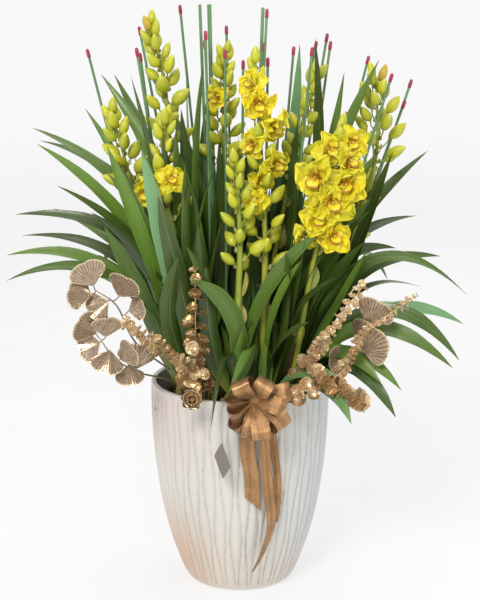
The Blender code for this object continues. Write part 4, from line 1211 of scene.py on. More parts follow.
# ---------------------------------------------------------------- flower spikes
# Each spike: points up its stem, buds, share of the stem left bare, first turn, tone (mm, degrees).
SPIKES = {
    "spike_left_top": (((-96, 52, MIX_LEVEL), (-131, 4, 600), (-150, 6, 780), (-140, 10, 960), (-170, 10, 1095)),
                       22, 0.62, 20, 0.62),
    "spike_left_back": (((-132, 66, MIX_LEVEL), (-160, 30, 620), (-205, 14, 780), (-245, 28, 925)),
                        16, 0.66, 60, 0.35),
    "spike_left_front": (((-88, -64, MIX_LEVEL), (-105, -92, 640), (-140, -88, 790), (-140, -78, 925)),
                         17, 0.54, 10, 0.80),
    "spike_centre_back": (((-20, 74, MIX_LEVEL), (-28, 60, 700), (-32, 40, 880), (-30, 40, 1040)),
                          24, 0.54, 40, 0.60),
    "spike_centre": (((-20, -84, MIX_LEVEL), (-6, -138, 560), (0, -140, 720), (-8, -130, 850)),
                     18, 0.50, 80, 0.50),
    "spike_centre_yellow": (((38, -60, MIX_LEVEL), (44, -116, 560), (46, -108, 740), (28, -80, 1035)),
                            24, 0.52, 0, 0.90),
    "spike_centre_right": (((24, -3, MIX_LEVEL), (74, -24, 700), (108, 8, 850), (145, 36, 1000)),
                           20, 0.52, 30, 0.55),
    "spike_right_flowers": (((90, -113, MIX_LEVEL), (130, -140, 640), (158, -145, 770), (178, -150, 915)),
                            4, 0.80, 0, 0.80),
    "spike_right_top": (((126, 44, MIX_LEVEL), (225, 20, 710), (262, 10, 850), (260, 10, 985)),
                        20, 0.58, 50, 0.55),
    "spike_right_back": (((66, 50, MIX_LEVEL), (145, 58, 620), (212, 62, 700), (248, 64, 790)),
                         12, 0.62, 15, 0.45),
}
# Open flowers, by spike: centre, bearing and lift of its face, size (mm, degrees).
FLOWERS = {
    "spike_right_flowers": (
        ((164, -176, 885), -95, 8, 0.78), ((202, -160, 896), -60, 15, 0.72), ((196, -172, 862), -75, -5, 0.80),
        ((138, -186, 836), -105, 5, 1.05), ((192, -178, 818), -70, 0, 0.98), ((166, -190, 790), -90, -10, 1.00),
        ((143, -184, 762), -105, -5, 0.85), ((170, -176, 726), -80, -12, 0.82), ((122, -166, 726), -120, -8, 0.66)),
    "spike_left_front": (
        ((-172, -112, 795), -110, -15, 0.72), ((-128, -118, 822), -60, 0, 0.66)),
    "spike_centre": (((28, -136, 786), -80, -15, 0.62),),
    "spike_centre_yellow": (
        ((34, -106, 962), -95, -10, 0.78), ((62, -96, 918), -60, -5, 0.80), ((24, -104, 884), -110, -10, 0.70),
        ((66, -102, 850), -70, -10, 0.74), ((40, -110, 822), -95, -20, 0.62), ((20, -98, 998), -120, 5, 0.66)),
    "spike_centre_back": (((-44, 6, 960), -100, 0, 0.62),),
    "spike_right_back": (((232, 22, 772), -80, -5, 0.60),),
}
# The petals round a flower: bearing, width, how far each opens.
PETALS = ((90, 1.0, 0.80), (158, 1.2, 0.95), (22, 1.2, 0.95), (232, 1.0, 0.66), (-52, 1.0, 0.66))
STEM_POINTS = 48


def bud_shape():
    """A plump pointed bud of unit length with three soft seams."""
    rows = []
    for t, radius in ((0.0, 0.10), (0.06, 0.42), (0.18, 0.80), (0.36, 1.0),
                      (0.56, 0.94), (0.76, 0.68), (0.90, 0.34), (0.98, 0.10)):
        bend = 0.10 * math.sin(math.pi * t)
        row = []
        for s, (x, y) in enumerate(circle(12)):
            girth = radius * (1.0 - 0.12 * abs(math.cos(math.pi * s / 4)) ** 3)
            row.append((girth * x + bend, girth * y, t))
        rows.append(row)
    return helper("bud_shape", ring_shell("bud_shape", rows))


def petal_shape(name, width, cup, ruffle, curl, stations=9, columns=7):
    """A petal of unit length along +Z that faces +Y and curls back at its tip."""
    rows = []
    for i in range(stations):
        t = i / (stations - 1)
        half = width * math.sin(math.pi * (0.09 + 0.88 * t)) ** 0.58 * (1.0 - 0.25 * t ** 6)
        row = []
        for x in spread(columns):
            wave = ruffle * math.sin(t * 15.0 + (2.2 if x > 0 else 0.0)) * abs(x) ** 1.5
            wave += ruffle * 0.6 * math.sin(x * 7.0 + t * 3.0) * t * t
            lift = cup * (x * x) * half * 2.0 + wave + curl * (t ** 2.0)
            row.append((x * half, lift, t))
        rows.append(row)
    return helper(name, grid_sheet(name, rows, 0.020))


def lip_shape():
    """The flower's lip: a spoon with a broad, ruffled, turned-down end."""
    rows = []
    for i in range(10):
        t = i / 9
        half = 0.15 + 0.42 * smooth_share(t * 1.7) * (1.0 - 0.62 * max(0.0, t - 0.6) / 0.4)
        row = []
        for x in spread(9):
            wall = 0.55 * (x * x) * (1.0 - 0.55 * t)
            ruffle = 0.05 * math.sin(x * 9.0 + t * 6.0) * smooth_share((t - 0.5) * 2.0)
            row.append((x * half, 0.75 * math.sin(min(t * 1.45, 1.2)) + wall * 0.6 - 0.15,
                        -0.55 * t * t + wall * 0.35 + ruffle))
        rows.append(row)
    return helper("lip_shape", grid_sheet("lip_shape", rows, 0.022))


def stem_points(knots):
    """Points up a flower stem."""
    return along_all([millimetres(*knot) for knot in knots], STEM_POINTS)


def heading(path, t):
    """The direction of a path round its place t."""
    return (along_path(path, min(t + 0.02, 1)) - along_path(path, t - 0.02)).normalized()


class ORCHID_OT_spikes(bpy.types.Operator):
    """Build the flower spikes: stems, bracts, buds and their stalks"""
    bl_idname = "orchid.spikes"
    bl_label = "Flower Spikes"

    def execute(self, context):
        ring = round_profile(12)
        bud = bud_shape()
        bract = petal_shape("bract_shape", 0.34, 0.9, 0.0, 0.10, 6, 5)
        for order, (name, (knots, buds, bare, first, tone)) in enumerate(SPIKES.items()):
            rng = random.Random(40 + order)
            stem = stem_points(knots)
            rods = Paths()
            foot = sizes().stem_radius
            foot *= 1.4 if name in ("spike_centre", "spike_centre_yellow") else 1.0
            halves = [foot * (1.0 - 0.70 * (i / (STEM_POINTS - 1))) * (1 + 0.05 * math.sin(i * 0.8))
                      for i in range(STEM_POINTS)]
            rods.rod(stem, halves, tone)
            spots, bracts = Spots(), Spots()
            for number in range(buds):
                share = number / (buds - 1)
                t = bare + (0.985 - bare) * share ** 0.92
                start = along_path(stem, t)
                ahead = heading(stem, t)
                turn = math.radians(first) + GOLDEN_TURN * number
                out = direction(turn)
                out = (out - ahead * out.dot(ahead)).normalized()
                size = 1.0 - 0.28 * share
                way = (out * (1.05 - 0.65 * share) + ahead * (0.70 + 0.5 * share)).normalized()
                stalk = 0.032 if name == "spike_right_top" else 0.017
                stalk *= (1.0 - 0.45 * share) * rng.uniform(0.85, 1.25)
                bend = start + out * stalk * 0.7 + ahead * stalk * 0.25
                end = start + way * stalk * 1.15
                rods.rod([start, start.lerp(bend, 0.6), bend.lerp(end, 0.5), end],
                         [0.0016, 0.0014, 0.0013, 0.0017], tone)
                length = sizes().bud_length * size * rng.uniform(0.88, 1.12)
                girth = length * rng.uniform(0.24, 0.30)
                shade = 0.96 if (number == buds - 2 and order in (0, 8)) else rng.uniform(0.25, 0.9)
                spots.add(end - way * 0.001, way, out.cross(way), (girth, girth, length), shade)
                near = halves[int(t * (STEM_POINTS - 1))]
                bracts.add(start + out * near * 0.6, (ahead * 1.2 + out * 0.5).normalized(), out.cross(ahead),
                           (0.012, 0.010, 0.012 * size), rng.random())
            tip = stem[-1]
            ahead = (stem[-1] - stem[-3]).normalized()
            spots.add(tip - ahead * 0.003, ahead, RIGHT, (0.0050, 0.0050, 0.021), 0.5)
            for t in (0.16, 0.30, 0.43, 0.54):
                if t < bare - 0.04:
                    start = along_path(stem, t)
                    ahead = (along_path(stem, t + 0.02) - start).normalized()
                    out = ahead.cross(direction(t * 40)).normalized()
                    near = halves[int(t * (STEM_POINTS - 1))]
                    bracts.add(start + out * near * 0.75, (ahead * 3 + out * 0.3).normalized(),
                               out.cross(ahead), (0.034, 0.016, 0.046), rng.random())
            label = name.replace("spike_", "")
            rods.sweep("stem_" + label, ring, stem_skin("stem"), "flower_spike", name)
            spots.scatter("buds_" + label, bud, bud_skin(), "flower_spike")
            bracts.scatter("bracts_" + label, bract, stem_skin("sheath"), "flower_spike")
        return {"FINISHED"}


class ORCHID_OT_flowers(bpy.types.Operator):
    """Build the open flowers: petals, lips, columns and stalks"""
    bl_idname = "orchid.flowers"
    bl_label = "Open Flowers"

    def execute(self, context):
        petal = petal_shape("petal_shape", 0.50, 0.32, 0.115, -0.20, 15, 11)
        lip = lip_shape()
        petals, lips, rods = Spots(), Spots(), Paths()
        rng = random.Random(77)
        for spike, (centre, bearing, lift, size) in [(s, one) for s, heads in FLOWERS.items() for one in heads]:
            centre = millimetres(*centre)
            turn = math.radians(bearing + rng.uniform(-26, 26))
            face = direction(turn, math.radians(lift + rng.uniform(-24, 18)))
            side = face.cross(UP).normalized()
            high = side.cross(face)
            roll = math.radians(rng.uniform(-28, 28))
            reach = sizes().flower_radius * size
            tone = rng.uniform(0.0, 0.5)
            for angle, width, open_share in PETALS:
                way = math.radians(angle + rng.uniform(-12, 12)) + roll
                out = side * math.cos(way) + high * math.sin(way)
                along = (out + face * (1.0 - open_share * rng.uniform(0.62, 1.25))).normalized()
                petals.add(centre + out * reach * 0.05 - face * reach * 0.12, along, face.cross(out).normalized(),
                           (reach * width, reach * rng.uniform(0.8, 1.6), reach * rng.uniform(0.92, 1.12)), tone)
            lips.add(centre + face * reach * 0.08 + high * reach * 0.02, high, side, reach * 0.60, tone)
            rods.rod([centre - face * reach * 0.20, centre, centre + face * reach * 0.20 + high * reach * 0.10,
                      centre + face * reach * 0.34 + high * reach * 0.06], [0.0020, 0.0026, 0.0028, 0.0020], 0.95)
            stem = stem_points(SPIKES[spike][0])
            near = min(stem, key=lambda p: (p - centre - Vector((0, 0, -0.02))).length)
            back = centre - face * reach * 0.20
            rods.rod([near, near.lerp(back, 0.5) - UP * 0.004, back], [0.0020, 0.0018, 0.0022], 0.4)
        petals.scatter("flower_petals", petal, petal_skin("petal"), "flower_spike")
        lips.scatter("flower_lips", lip, petal_skin("lip"), "flower_spike")
        rods.sweep("flower_columns", round_profile(10), bud_skin(), "flower_spike")
        return {"FINISHED"}


# ---------------------------------------------------------------- stakes
# Each stake: where it enters the mix and where its coloured tip ends (mm).
STAKES = {
    "stake_01": ((-128, 42), (-295, 60, 1050)),
    "stake_02": ((-88, 8), (-194, -30, 1058)),
    "stake_03": ((-70, 60), (-196, 90, 1091)),
    "stake_04": ((-40, 84), (-117, 100, 1132)),
    "stake_05": ((-33, 2), (-67, 14, 1070)),
    "stake_06": ((-4, 100), (-27, 130, 1091)),
    "stake_07": ((4, 8), (6, 0, 1033)),
    "stake_08": ((20, -20), (51, 10, 1128)),
    "stake_09": ((46, 52), (104, 60, 1055)),
    "stake_10": ((84, 30), (175, 60, 1065)),
    "stake_11": ((84, 98), (255, 130, 1032)),
    "stake_12": ((100, -28), (284, -50, 1012)),
    "stake_13": ((140, 58), (335, 80, 990)),
}
# Further stakes of the same kind among them.
MORE_STAKES = (
    ((-28, -40), (-28, -60, 1057)), ((70, -34), (134, -60, 1061)), ((76, -74), (196, -90, 945)),
    ((-110, 70), (-192, 40, 1044)), ((14, 70), (44, 60, 1062)), ((52, -6), (52, -30, 1040)),
    ((64, 84), (170, 90, 1078)), ((30, 100), (150, 110, 1062)), ((120, 20), (318, 30, 955)),
    ((-54, -20), (-64, -40, 1090)),
)
# Thicker cut sticks: foot, top, radius (mm).
CUT_STICKS = (
    ((-52, 84), (-77, 60, 1134), 3.0), ((-44, 66), (-59, 64, 1134), 4.2), ((18, 40), (44, 62, 1128), 3.4),
)
# A stake's tip: share of its length, share of its radius.
CAP = ((0.0, 0.62), (0.06, 0.92), (0.16, 1.0), (0.5, 1.0), (0.8, 0.96), (0.93, 0.72), (1.0, 0.25))
TIP_LENGTH = 0.018
STAKE_DEPTH = 0.018
# Thin ties that hold a stem to its stake: place (mm).
TIES = ((54, -72, 780), (84, -30, 770), (6, -96, 715), (44, -74, 610), (-138, -84, 700), (148, -138, 700))


class ORCHID_OT_stakes(bpy.types.Operator):
    """Set the thin stakes with their coloured tips, and the ties"""
    bl_idname = "orchid.stakes"
    bl_label = "Stakes"

    def execute(self, context):
        ring = round_profile(12)
        rods, tips, ties = Paths(), Paths(), Paths()
        rng = random.Random(8)
        radius, tip_radius = sizes().stake_radius, sizes().tip_radius
        for spot, tip in list(STAKES.values()) + list(MORE_STAKES):
            top = millimetres(*tip)
            mouth = on_mix(spot)
            way = (top - mouth).normalized()
            low = mouth - way * STAKE_DEPTH
            bow = way.cross(Vector((rng.gauss(0, 1), rng.gauss(0, 1), 0.2))).normalized() * rng.uniform(0.001, 0.005)
            line = [low.lerp(top - way * 0.012, i / 15) + bow * math.sin(math.pi * i / 15) for i in range(16)]
            tone = rng.random()
            rods.rod(line, [radius * (1 + 0.04 * math.sin(i * 2.1)) for i in range(16)], tone)
            tips.rod([top - way * TIP_LENGTH * (1 - t) for t, _ in CAP], [tip_radius * r for _, r in CAP], tone)
        for spot, tip, thick in CUT_STICKS:
            mouth, top = on_mix(spot, -STAKE_DEPTH), millimetres(*tip)
            rods.rod([mouth.lerp(top, i / 15) for i in range(16)], thick * MM, rng.random())
        for x, y, z in TIES:
            centre = millimetres(x, y, z)
            turns = [i / 22 * 2 * math.pi * 1.15 for i in range(23)]
            loop = [centre + Vector((math.cos(t) * 0.012, math.sin(t) * 0.009, 0.002 * math.sin(t * 0.5)))
                    for t in turns]
            loop += [loop[-1] + Vector((0.006, -0.004, 0.004)), loop[-1] + Vector((0.012, -0.006, 0.010))]
            ties.rod(loop, 0.0009, 0.5)
        rods.sweep("stake_rods", ring, stake_plastic("rod"), "stake", *STAKES)
        tips.sweep("stake_tips", ring, stake_plastic("tip"), "stake")
        ties.sweep("stem_ties", ring, stake_plastic("rod"), "stake")
        return {"FINISHED"}


# ---------------------------------------------------------------- gold sprays
# Each spray: where it enters the mix, the points of its stem, discs, largest and smallest disc (mm), share left bare.
SPRAYS = {
    "gold_spray_dark": ((-76, -126), ((-80, -165, 460), (-82, -180, 540), (-82, -182, 665)),
                        26, 17, 12, 0.34),
    "gold_petals": ((-100, -110), ((-97, -168, 455), (-97, -200, 482), (-147, -214, 528), (-211, -222, 580)),
                    44, 14, 10, 0.36),
    "gold_spray_upper": ((104, -104), ((116, -150, 470), (144, -195, 520), (226, -222, 650)),
                         64, 14, 9, 0.22),
    "gold_spray_right": ((138, -50), ((182, -186, 470), (230, -200, 550), (325, -190, 622)),
                         52, 11, 6, 0.34),
    "gold_spray_low": ((123, -91), ((142, -205, 470), (185, -225, 448), (232, -240, 426)),
                       50, 14, 12, 0.28),
}
# Each fan stem: where it enters the mix, its points, and the fans on it by place, bearing and length (mm, degrees).
FAN_STEMS = {
    "gold_fan_upper": ((-100, -96), ((-190, -170, 520), (-225, -195, 600), (-262, -205, 632)), (
        (-266, -206, 640, 112, 50), (-270, -204, 622, 168, 46), (-240, -200, 612, -150, 44), (-222, -196, 618, 66, 48),
        (-205, -190, 590, 20, 34))),
    "gold_fan_lower": ((-118, -92), ((-190, -178, 470), (-232, -200, 505), (-258, -210, 545)), (
        (-262, -212, 552, 140, 46), (-256, -208, 536, -160, 44), (-238, -206, 520, -105, 46), (-246, -208, 545, 84, 42),
        (-206, -190, 488, -84, 40), (-222, -198, 500, 40, 40), (-197, -181, 475, 78, 54))),
    "gold_leaf_right": ((128, -66), ((168, -125, 440), (203, -152, 480), (222, -165, 505)), (
        (222, -165, 505, 60, 66), (205, -153, 482, 168, 42), (226, -168, 512, 8, 50), (236, -172, 560, 62, 54))),
}
# Small cups of gold leaf: place and radius (mm).
CUPS = ((104, -196, 440, 15), (122, -198, 452, 14), (110, -202, 422, 15), (134, -200, 434, 13), (92, -196, 428, 12),
        (-86, -205, 523, 14), (-78, -196, 447, 9), (-66, -190, 470, 11), (-104, -196, 470, 12))
ROSETTE = (-89, -206, 424)
SPRAY_POINTS = 32


def disc_shape():
    """A round cupped leaf of unit radius that faces +Z."""
    rows = []
    for radius, height in ((0.06, -0.05), (0.55, 0.02), (0.98, 0.30), (1.0, 0.34), (0.58, 0.09), (0.06, 0.02)):
        row = []
        for s, (x, y) in enumerate(circle(12)):
            turn = 2 * math.pi * s / 12
            reach = radius * (1.0 + 0.07 * math.cos(3 * turn + 0.6) * radius)
            row.append((reach * x, reach * y, height + 0.06 * radius * math.sin(2 * turn)))
        rows.append(row)
    return helper("disc_shape", ring_shell("disc_shape", rows))


def fan_shape():
    """A pleated fan leaf of unit length along +Z, facing +Y, with a round edge."""
    rows, columns = 13, 31
    points, along, across = [], [], []
    for i in range(rows):
        t = i / (rows - 1)
        for j, x in enumerate(spread(columns)):
            turn = x * math.radians(58)
            notch = 0.05 * math.exp(-(x * 7.0) ** 2)
            reach = (0.07 + 0.93 * t) * (1.0 - notch * t - 0.26 * x ** 6)
            pleat = 0.012 * t * (1.0 if j % 2 else -1.0)
            wave = 0.05 * t * math.sin(x * 5.0) + 0.20 * t * t * (x * x - 0.4) + pleat
            points.append((reach * math.sin(turn), wave, reach * math.cos(turn)))
            along.append(t)
            across.append(x)
    flat = plain_mesh("fan", points, quads(rows, columns), along=along, across=across)
    obj = link(bpy.data.objects.new("fan", flat))
    thick = obj.modifiers.new("Thickness", "SOLIDIFY")
    thick.thickness = 0.022
    thick.offset = 0.0
    mesh = evaluated(obj)
    bpy.data.objects.remove(obj)
    return helper("fan_shape", outward(mesh))


def spray_stem(spot, knots):
    """A gold stem that rises upright past the rim, then follows its points."""
    mouth = on_mix(spot, -0.006)
    clear = mouth + UP * (POT_HEIGHT - MIX_TOP + 0.018)
    path = [mouth, clear] + [millimetres(*knot) for knot in knots]
    return along_all(path, SPRAY_POINTS)


def drawn_out(foot, loss):
    """Radii of a gold stem, from its foot to its thinner tip."""
    return [foot - loss * i / (SPRAY_POINTS - 1) for i in range(SPRAY_POINTS)]


class ORCHID_OT_gold(bpy.types.Operator):
    """Build the gold-painted sprays, fan leaves and rosette"""
    bl_idname = "orchid.gold"
    bl_label = "Gold Sprays"

    def execute(self, context):
        self.ring = round_profile(8)
        self.disc = disc_shape()
        for order, (name, measures) in enumerate(SPRAYS.items()):
            self.spray(name, random.Random(60 + order), *measures)
        fan = fan_shape()
        for order, (name, (spot, knots, fans)) in enumerate(FAN_STEMS.items()):
            rng = random.Random(70 + order)
            stem = spray_stem(spot, knots)
            rods, spots = Paths(), Spots()
            rods.rod(stem, drawn_out(0.0021, 0.0008), 0.5)
            for x, y, z, bearing, length in fans:
                turn = math.radians(bearing)
                way = Vector((math.cos(turn), rng.uniform(-0.30, 0.05), math.sin(turn))).normalized()
                face = Vector((0.1 + rng.gauss(0, 0.25), -0.9, 0.35 + rng.gauss(0, 0.2))).normalized()
                start = millimetres(x, y, z)
                near = min(stem, key=lambda p: (p - start).length)
                rods.rod([near, near.lerp(start, 0.5) - UP * 0.002, start, start + way * length * 0.12 * MM],
                         [0.0013, 0.0012, 0.0011, 0.0010], 0.5)
                spots.add(start, way, -face.cross(way), length * MM, rng.uniform(0.1, 0.9))
            bronze = gold_paint("bronze")
            rods.sweep(name.replace("gold", "twigs"), self.ring, bronze, "gold_leaf", name)
            spots.scatter(name.replace("gold", "fans"), fan, bronze, "gold_leaf", degrees=50)
        self.rosette()
        return {"FINISHED"}

    def spray(self, name, rng, spot, knots, count, big, small, bare):
        stem = spray_stem(spot, knots)
        rods, spots = Paths(), Spots()
        rods.rod(stem, drawn_out(0.0020, 0.0010), 0.3)
        for number in range(count):
            share = number / (count - 1)
            t = bare + (0.995 - bare) * share
            start = along_path(stem, t)
            ahead = heading(stem, t)
            turn = math.pi * number + 0.42 * (number // 2) + rng.uniform(-0.35, 0.35)
            side = ahead.cross(FRONT).normalized()
            out = side * math.cos(turn) + ahead.cross(side) * math.sin(turn)
            size = (big + (small - big) * share) * MM * rng.uniform(0.85, 1.15)
            face = (out * 0.35 + FRONT * rng.uniform(0.2, 0.7) + ahead * 0.75 + UP * 0.15).normalized()
            centre = start + out * size * 0.72
            rods.rod([start, start.lerp(centre, 0.55), centre], [0.0009, 0.0008, 0.0007], 0.3)
            dark = 0.6 if name == "gold_spray_dark" else 0.0
            spots.add(centre, face, ahead, (size * 0.98, size * 0.86, size * 0.86),
                      min(1.0, dark + rng.uniform(0.0, 0.6)))
        finish = gold_paint("gold")
        rods.sweep(name.replace("gold", "twig"), self.ring, finish, "gold_leaf", name)
        spots.scatter(name.replace("gold", "discs"), self.disc, finish, "gold_leaf", degrees=50)

    def rosette(self):
        rng = random.Random(90)
        spots, rods = Spots(), Paths()
        centre = millimetres(*ROSETTE)
        face = Vector((0.08, -0.92, 0.38)).normalized()
        side = face.cross(UP).normalized()
        high = side.cross(face)
        for ring, (count, lean, size) in enumerate(((4, 0.25, 0.0165), (6, 0.75, 0.0220), (8, 1.35, 0.0275))):
            for number in range(count):
                turn = 2 * math.pi * number / count + ring * 0.5
                out = side * math.cos(turn) + high * math.sin(turn)
                way = (face + out * lean).normalized()
                spots.add(centre - face * 0.009 + out * 0.001, way, face.cross(out), size * rng.uniform(0.92, 1.08),
                          rng.uniform(0.0, 0.15))
        petal = petal_shape("gold_petal", 0.52, 0.35, 0.03, 0.16, 7, 7)
        spots.scatter("rosette_petals", petal, gold_paint("gold"), "gold_leaf", "gold_rosette", degrees=50)
        cups = Spots()
        for x, y, z, radius in CUPS:
            point = millimetres(x, y, z)
            way = Vector((rng.gauss(0, 0.35), -0.9, 0.35 + rng.gauss(0, 0.3))).normalized()
            cups.add(point, way, UP, radius * MM, rng.uniform(0, 0.6))
            way = Vector((rng.gauss(0, 0.3), -0.9, 0.3)).normalized()
            cups.add(point + Vector((0.001, -0.001, 0.001)), way, UP, radius * 0.62 * MM, rng.uniform(0, 0.5))
            mouth = Vector((x, -148.0, 0.0)).normalized() * 0.146 + UP * (MIX_TOP - 0.004)
            over = Vector((mouth.x, mouth.y, POT_HEIGHT + 0.020))
            rods.rod(along_all([mouth, over, point.lerp(over, 0.45) + UP * 0.006, point], 12), 0.0013, 0.3)
        stem = spray_stem((-54, -136), ((-76, -180, 432), (-89, -200, 424)))
        rods.rod(stem, 0.0018, 0.3)
        cups.scatter("cups", self.disc, gold_paint("gold"), "gold_leaf", degrees=50)
        rods.sweep("cup_twigs", self.ring, gold_paint("gold"), "gold_leaf")


# ---------------------------------------------------------------- bow
KNOT = Vector((0.028, -0.205, 0.424))
KNOT_RADIUS = 0.013
RIBBON_THICK = 0.0007
TAIL_POINTS = 40
# Each loop: bearing in the bow's plane, lean to the front, length, opening, roll (mm, degrees).
LOOPS = {
    "bow_loop_top": (64, 26, 40, 40, 78),
    "bow_loop_back": (14, -4, 56, 38, 74),
    "bow_loop_left": (-122, 22, 58, 46, 48),
    "bow_loop_right": (-38, 26, 62, 48, 52),
    "bow_loop_small": (-80, 34, 64, 34, 80),
    "bow_loop_slender": (-166, 12, 42, 34, 66),
}
# Looser folds of the same ribbon among the loops.
FOLDS = {
    "bow_fold_top": (124, 30, 46, 40, 72),
    "bow_fold_low": (-100, 30, 56, 42, 84),
    "bow_fold_right": (-14, 22, 46, 40, 58),
    "bow_fold_left": (-146, 26, 46, 40, 56),
}
# Each tail: (x, height, clearance from the wall) down its middle line, in mm.
TAILS = {
    "bow_tail_left": ((18, 404, 20), (14, 372, 12), (14, 320, 9), (22, 262, 8), (25, 206, 7)),
    "bow_tail_middle": ((33, 402, 22), (42, 366, 17), (48, 300, 16), (54, 235, 16), (60, 165, 18), (44, 105, 22),
                        (24, 62, 26)),
    "bow_tail_right": ((46, 404, 16), (58, 372, 8), (64, 320, 6), (72, 240, 6), (66, 160, 7)),
}


def ribbon_piece(name, nodes, points, halves, across, pleat, skew=0.0, twist=0.0):
    """A strip of ribbon along points, pleated where it is gathered; skew slants its cut end."""
    rows = []
    last = len(points) - 1
    spin = (len(name) * 1.7) % 6.28
    for i, point in enumerate(points):
        t = i / last
        ahead = ahead_at(points, i).normalized()
        side = (across - ahead * across.dot(ahead)).normalized()
        side = Matrix.Rotation(twist * t, 3, ahead) @ side
        face = side.cross(ahead)
        row = []
        for x in spread(9):
            fold = pleat(t) * math.sin(x * 5.2 + spin) + 0.0007 * math.sin(t * 17.0 + x * 1.3 + spin)
            slant = skew * x * halves[i] * smooth_share((t - 0.80) / 0.20)
            row.append(point + side * x * halves[i] + face * fold + ahead * slant)
        rows.append(row)
    obj = piece_of(grid_sheet(name, rows, RIBBON_THICK), name.replace("bow", "ribbon"), ribbon_satin(), 60,
                   "satin_ribbon", *nodes)


def wall_front(x, z, clear):
    """The point just in front of the planter's wall at x and height z."""
    radius = pot_radius(min(z / POT_HEIGHT, 1.0)) + clear
    return Vector((x, -math.sqrt(max(radius * radius - x * x, 0.0)), z))


class ORCHID_OT_bow(bpy.types.Operator):
    """Tie the satin bow: knot, loops and tails"""
    bl_idname = "orchid.bow"
    bl_label = "Satin Bow"

    def execute(self, context):
        self.knot()
        width = sizes().ribbon_width
        for name, (bearing, lean, length, opening, roll) in (LOOPS | FOLDS).items():
            turn, tilt = math.radians(bearing), math.radians(lean)
            level = direction(turn, tilt)
            out = Vector((level.x, -level.z, level.y))
            wide = Matrix.Rotation(math.radians(roll), 3, out) @ out.cross(FRONT).normalized()
            across = out.cross(wide)
            points, halves = [], []
            for number in range(45):
                s = 0.03 + 0.94 * number / 44
                reach = (1 - math.cos(2 * math.pi * s)) / 2
                lift = math.sin(2 * math.pi * s) * (0.30 + 0.70 * reach)
                away = KNOT_RADIUS * 0.6 + reach * (length + 5) * MM
                points.append(KNOT + out * away + wide * (lift * opening * 0.5 * MM))
                halves.append(width * 0.5 * (0.30 + 0.70 * smooth_share(reach * 1.7)))
            ribbon_piece(name, (name,) if name in LOOPS else (), points, halves, across,
                         lambda t: 0.0022 * (1 - smooth_share(math.sin(math.pi * t) * 1.6)))
        for name, line in TAILS.items():
            knots = [wall_front(x * MM, z * MM, clear * MM) for x, z, clear in line]
            shares = [i / (TAIL_POINTS - 1) for i in range(TAIL_POINTS)]
            if name == "bow_tail_middle":
                full = [0.62 - 0.42 * smooth_share((t - 0.66) * 3) for t in shares]
                skew, twist = 0.8, -0.9
            else:
                full = [0.80 if "left" in name else 0.42] * TAIL_POINTS
                skew, twist = (1.0, 0.15) if "left" in name else (-0.8, 0.5)
            halves = [width * 0.5 * min(1.0, 0.3 + 3.0 * t) * part for t, part in zip(shares, full)]
            ribbon_piece(name, (name,), along_all(knots, TAIL_POINTS), halves, Vector((1, 0.1, 0)),
                         lambda t: 0.0016 * (1 - smooth_share(t * 4.0)) + 0.0004, skew, twist)
        return {"FINISHED"}

    def knot(self):
        """A pleated band wrapped round the gathered middle, and the wire behind it."""
        rows = []
        for i in range(15):
            t = i / 14
            radius = KNOT_RADIUS * (0.35 + 0.60 * math.sin(math.pi * t) ** 0.6)
            row = []
            for s, (x, y) in enumerate(circle(28)):
                fold = 1.0 + 0.05 * math.sin(9 * t * math.pi) + 0.03 * math.sin(6 * math.pi * s / 28)
                row.append(KNOT + Vector(((t - 0.5) * 0.026, radius * 0.85 * fold * x, radius * 1.15 * fold * y)))
            rows.append(row)
        piece_of(ring_shell("knot_band", rows), "knot_band", ribbon_satin(), 60, "satin_ribbon", "bow_knot")
        wire = Paths()
        over = Vector((KNOT.x * 0.8, -POT_RADIUS, POT_HEIGHT + 0.022))
        inside = Vector((KNOT.x * 0.5, -POT_RADIUS + 0.026, POT_HEIGHT + 0.004))
        path = [KNOT + Vector((0, 0.006, 0)), over, inside, inside - UP * 0.036, inside - UP * 0.056]
        wire.rod(along_all(path, 24), 0.0012, 0.4)
        wire.sweep("bow_wire", round_profile(8), stake_plastic("rod"), "stake")


# ---------------------------------------------------------------- tag
TAG_TOP = Vector((-0.033, -0.208, 0.342))
TAG_TURN = math.radians(62)
TAG_THICK = 0.0012


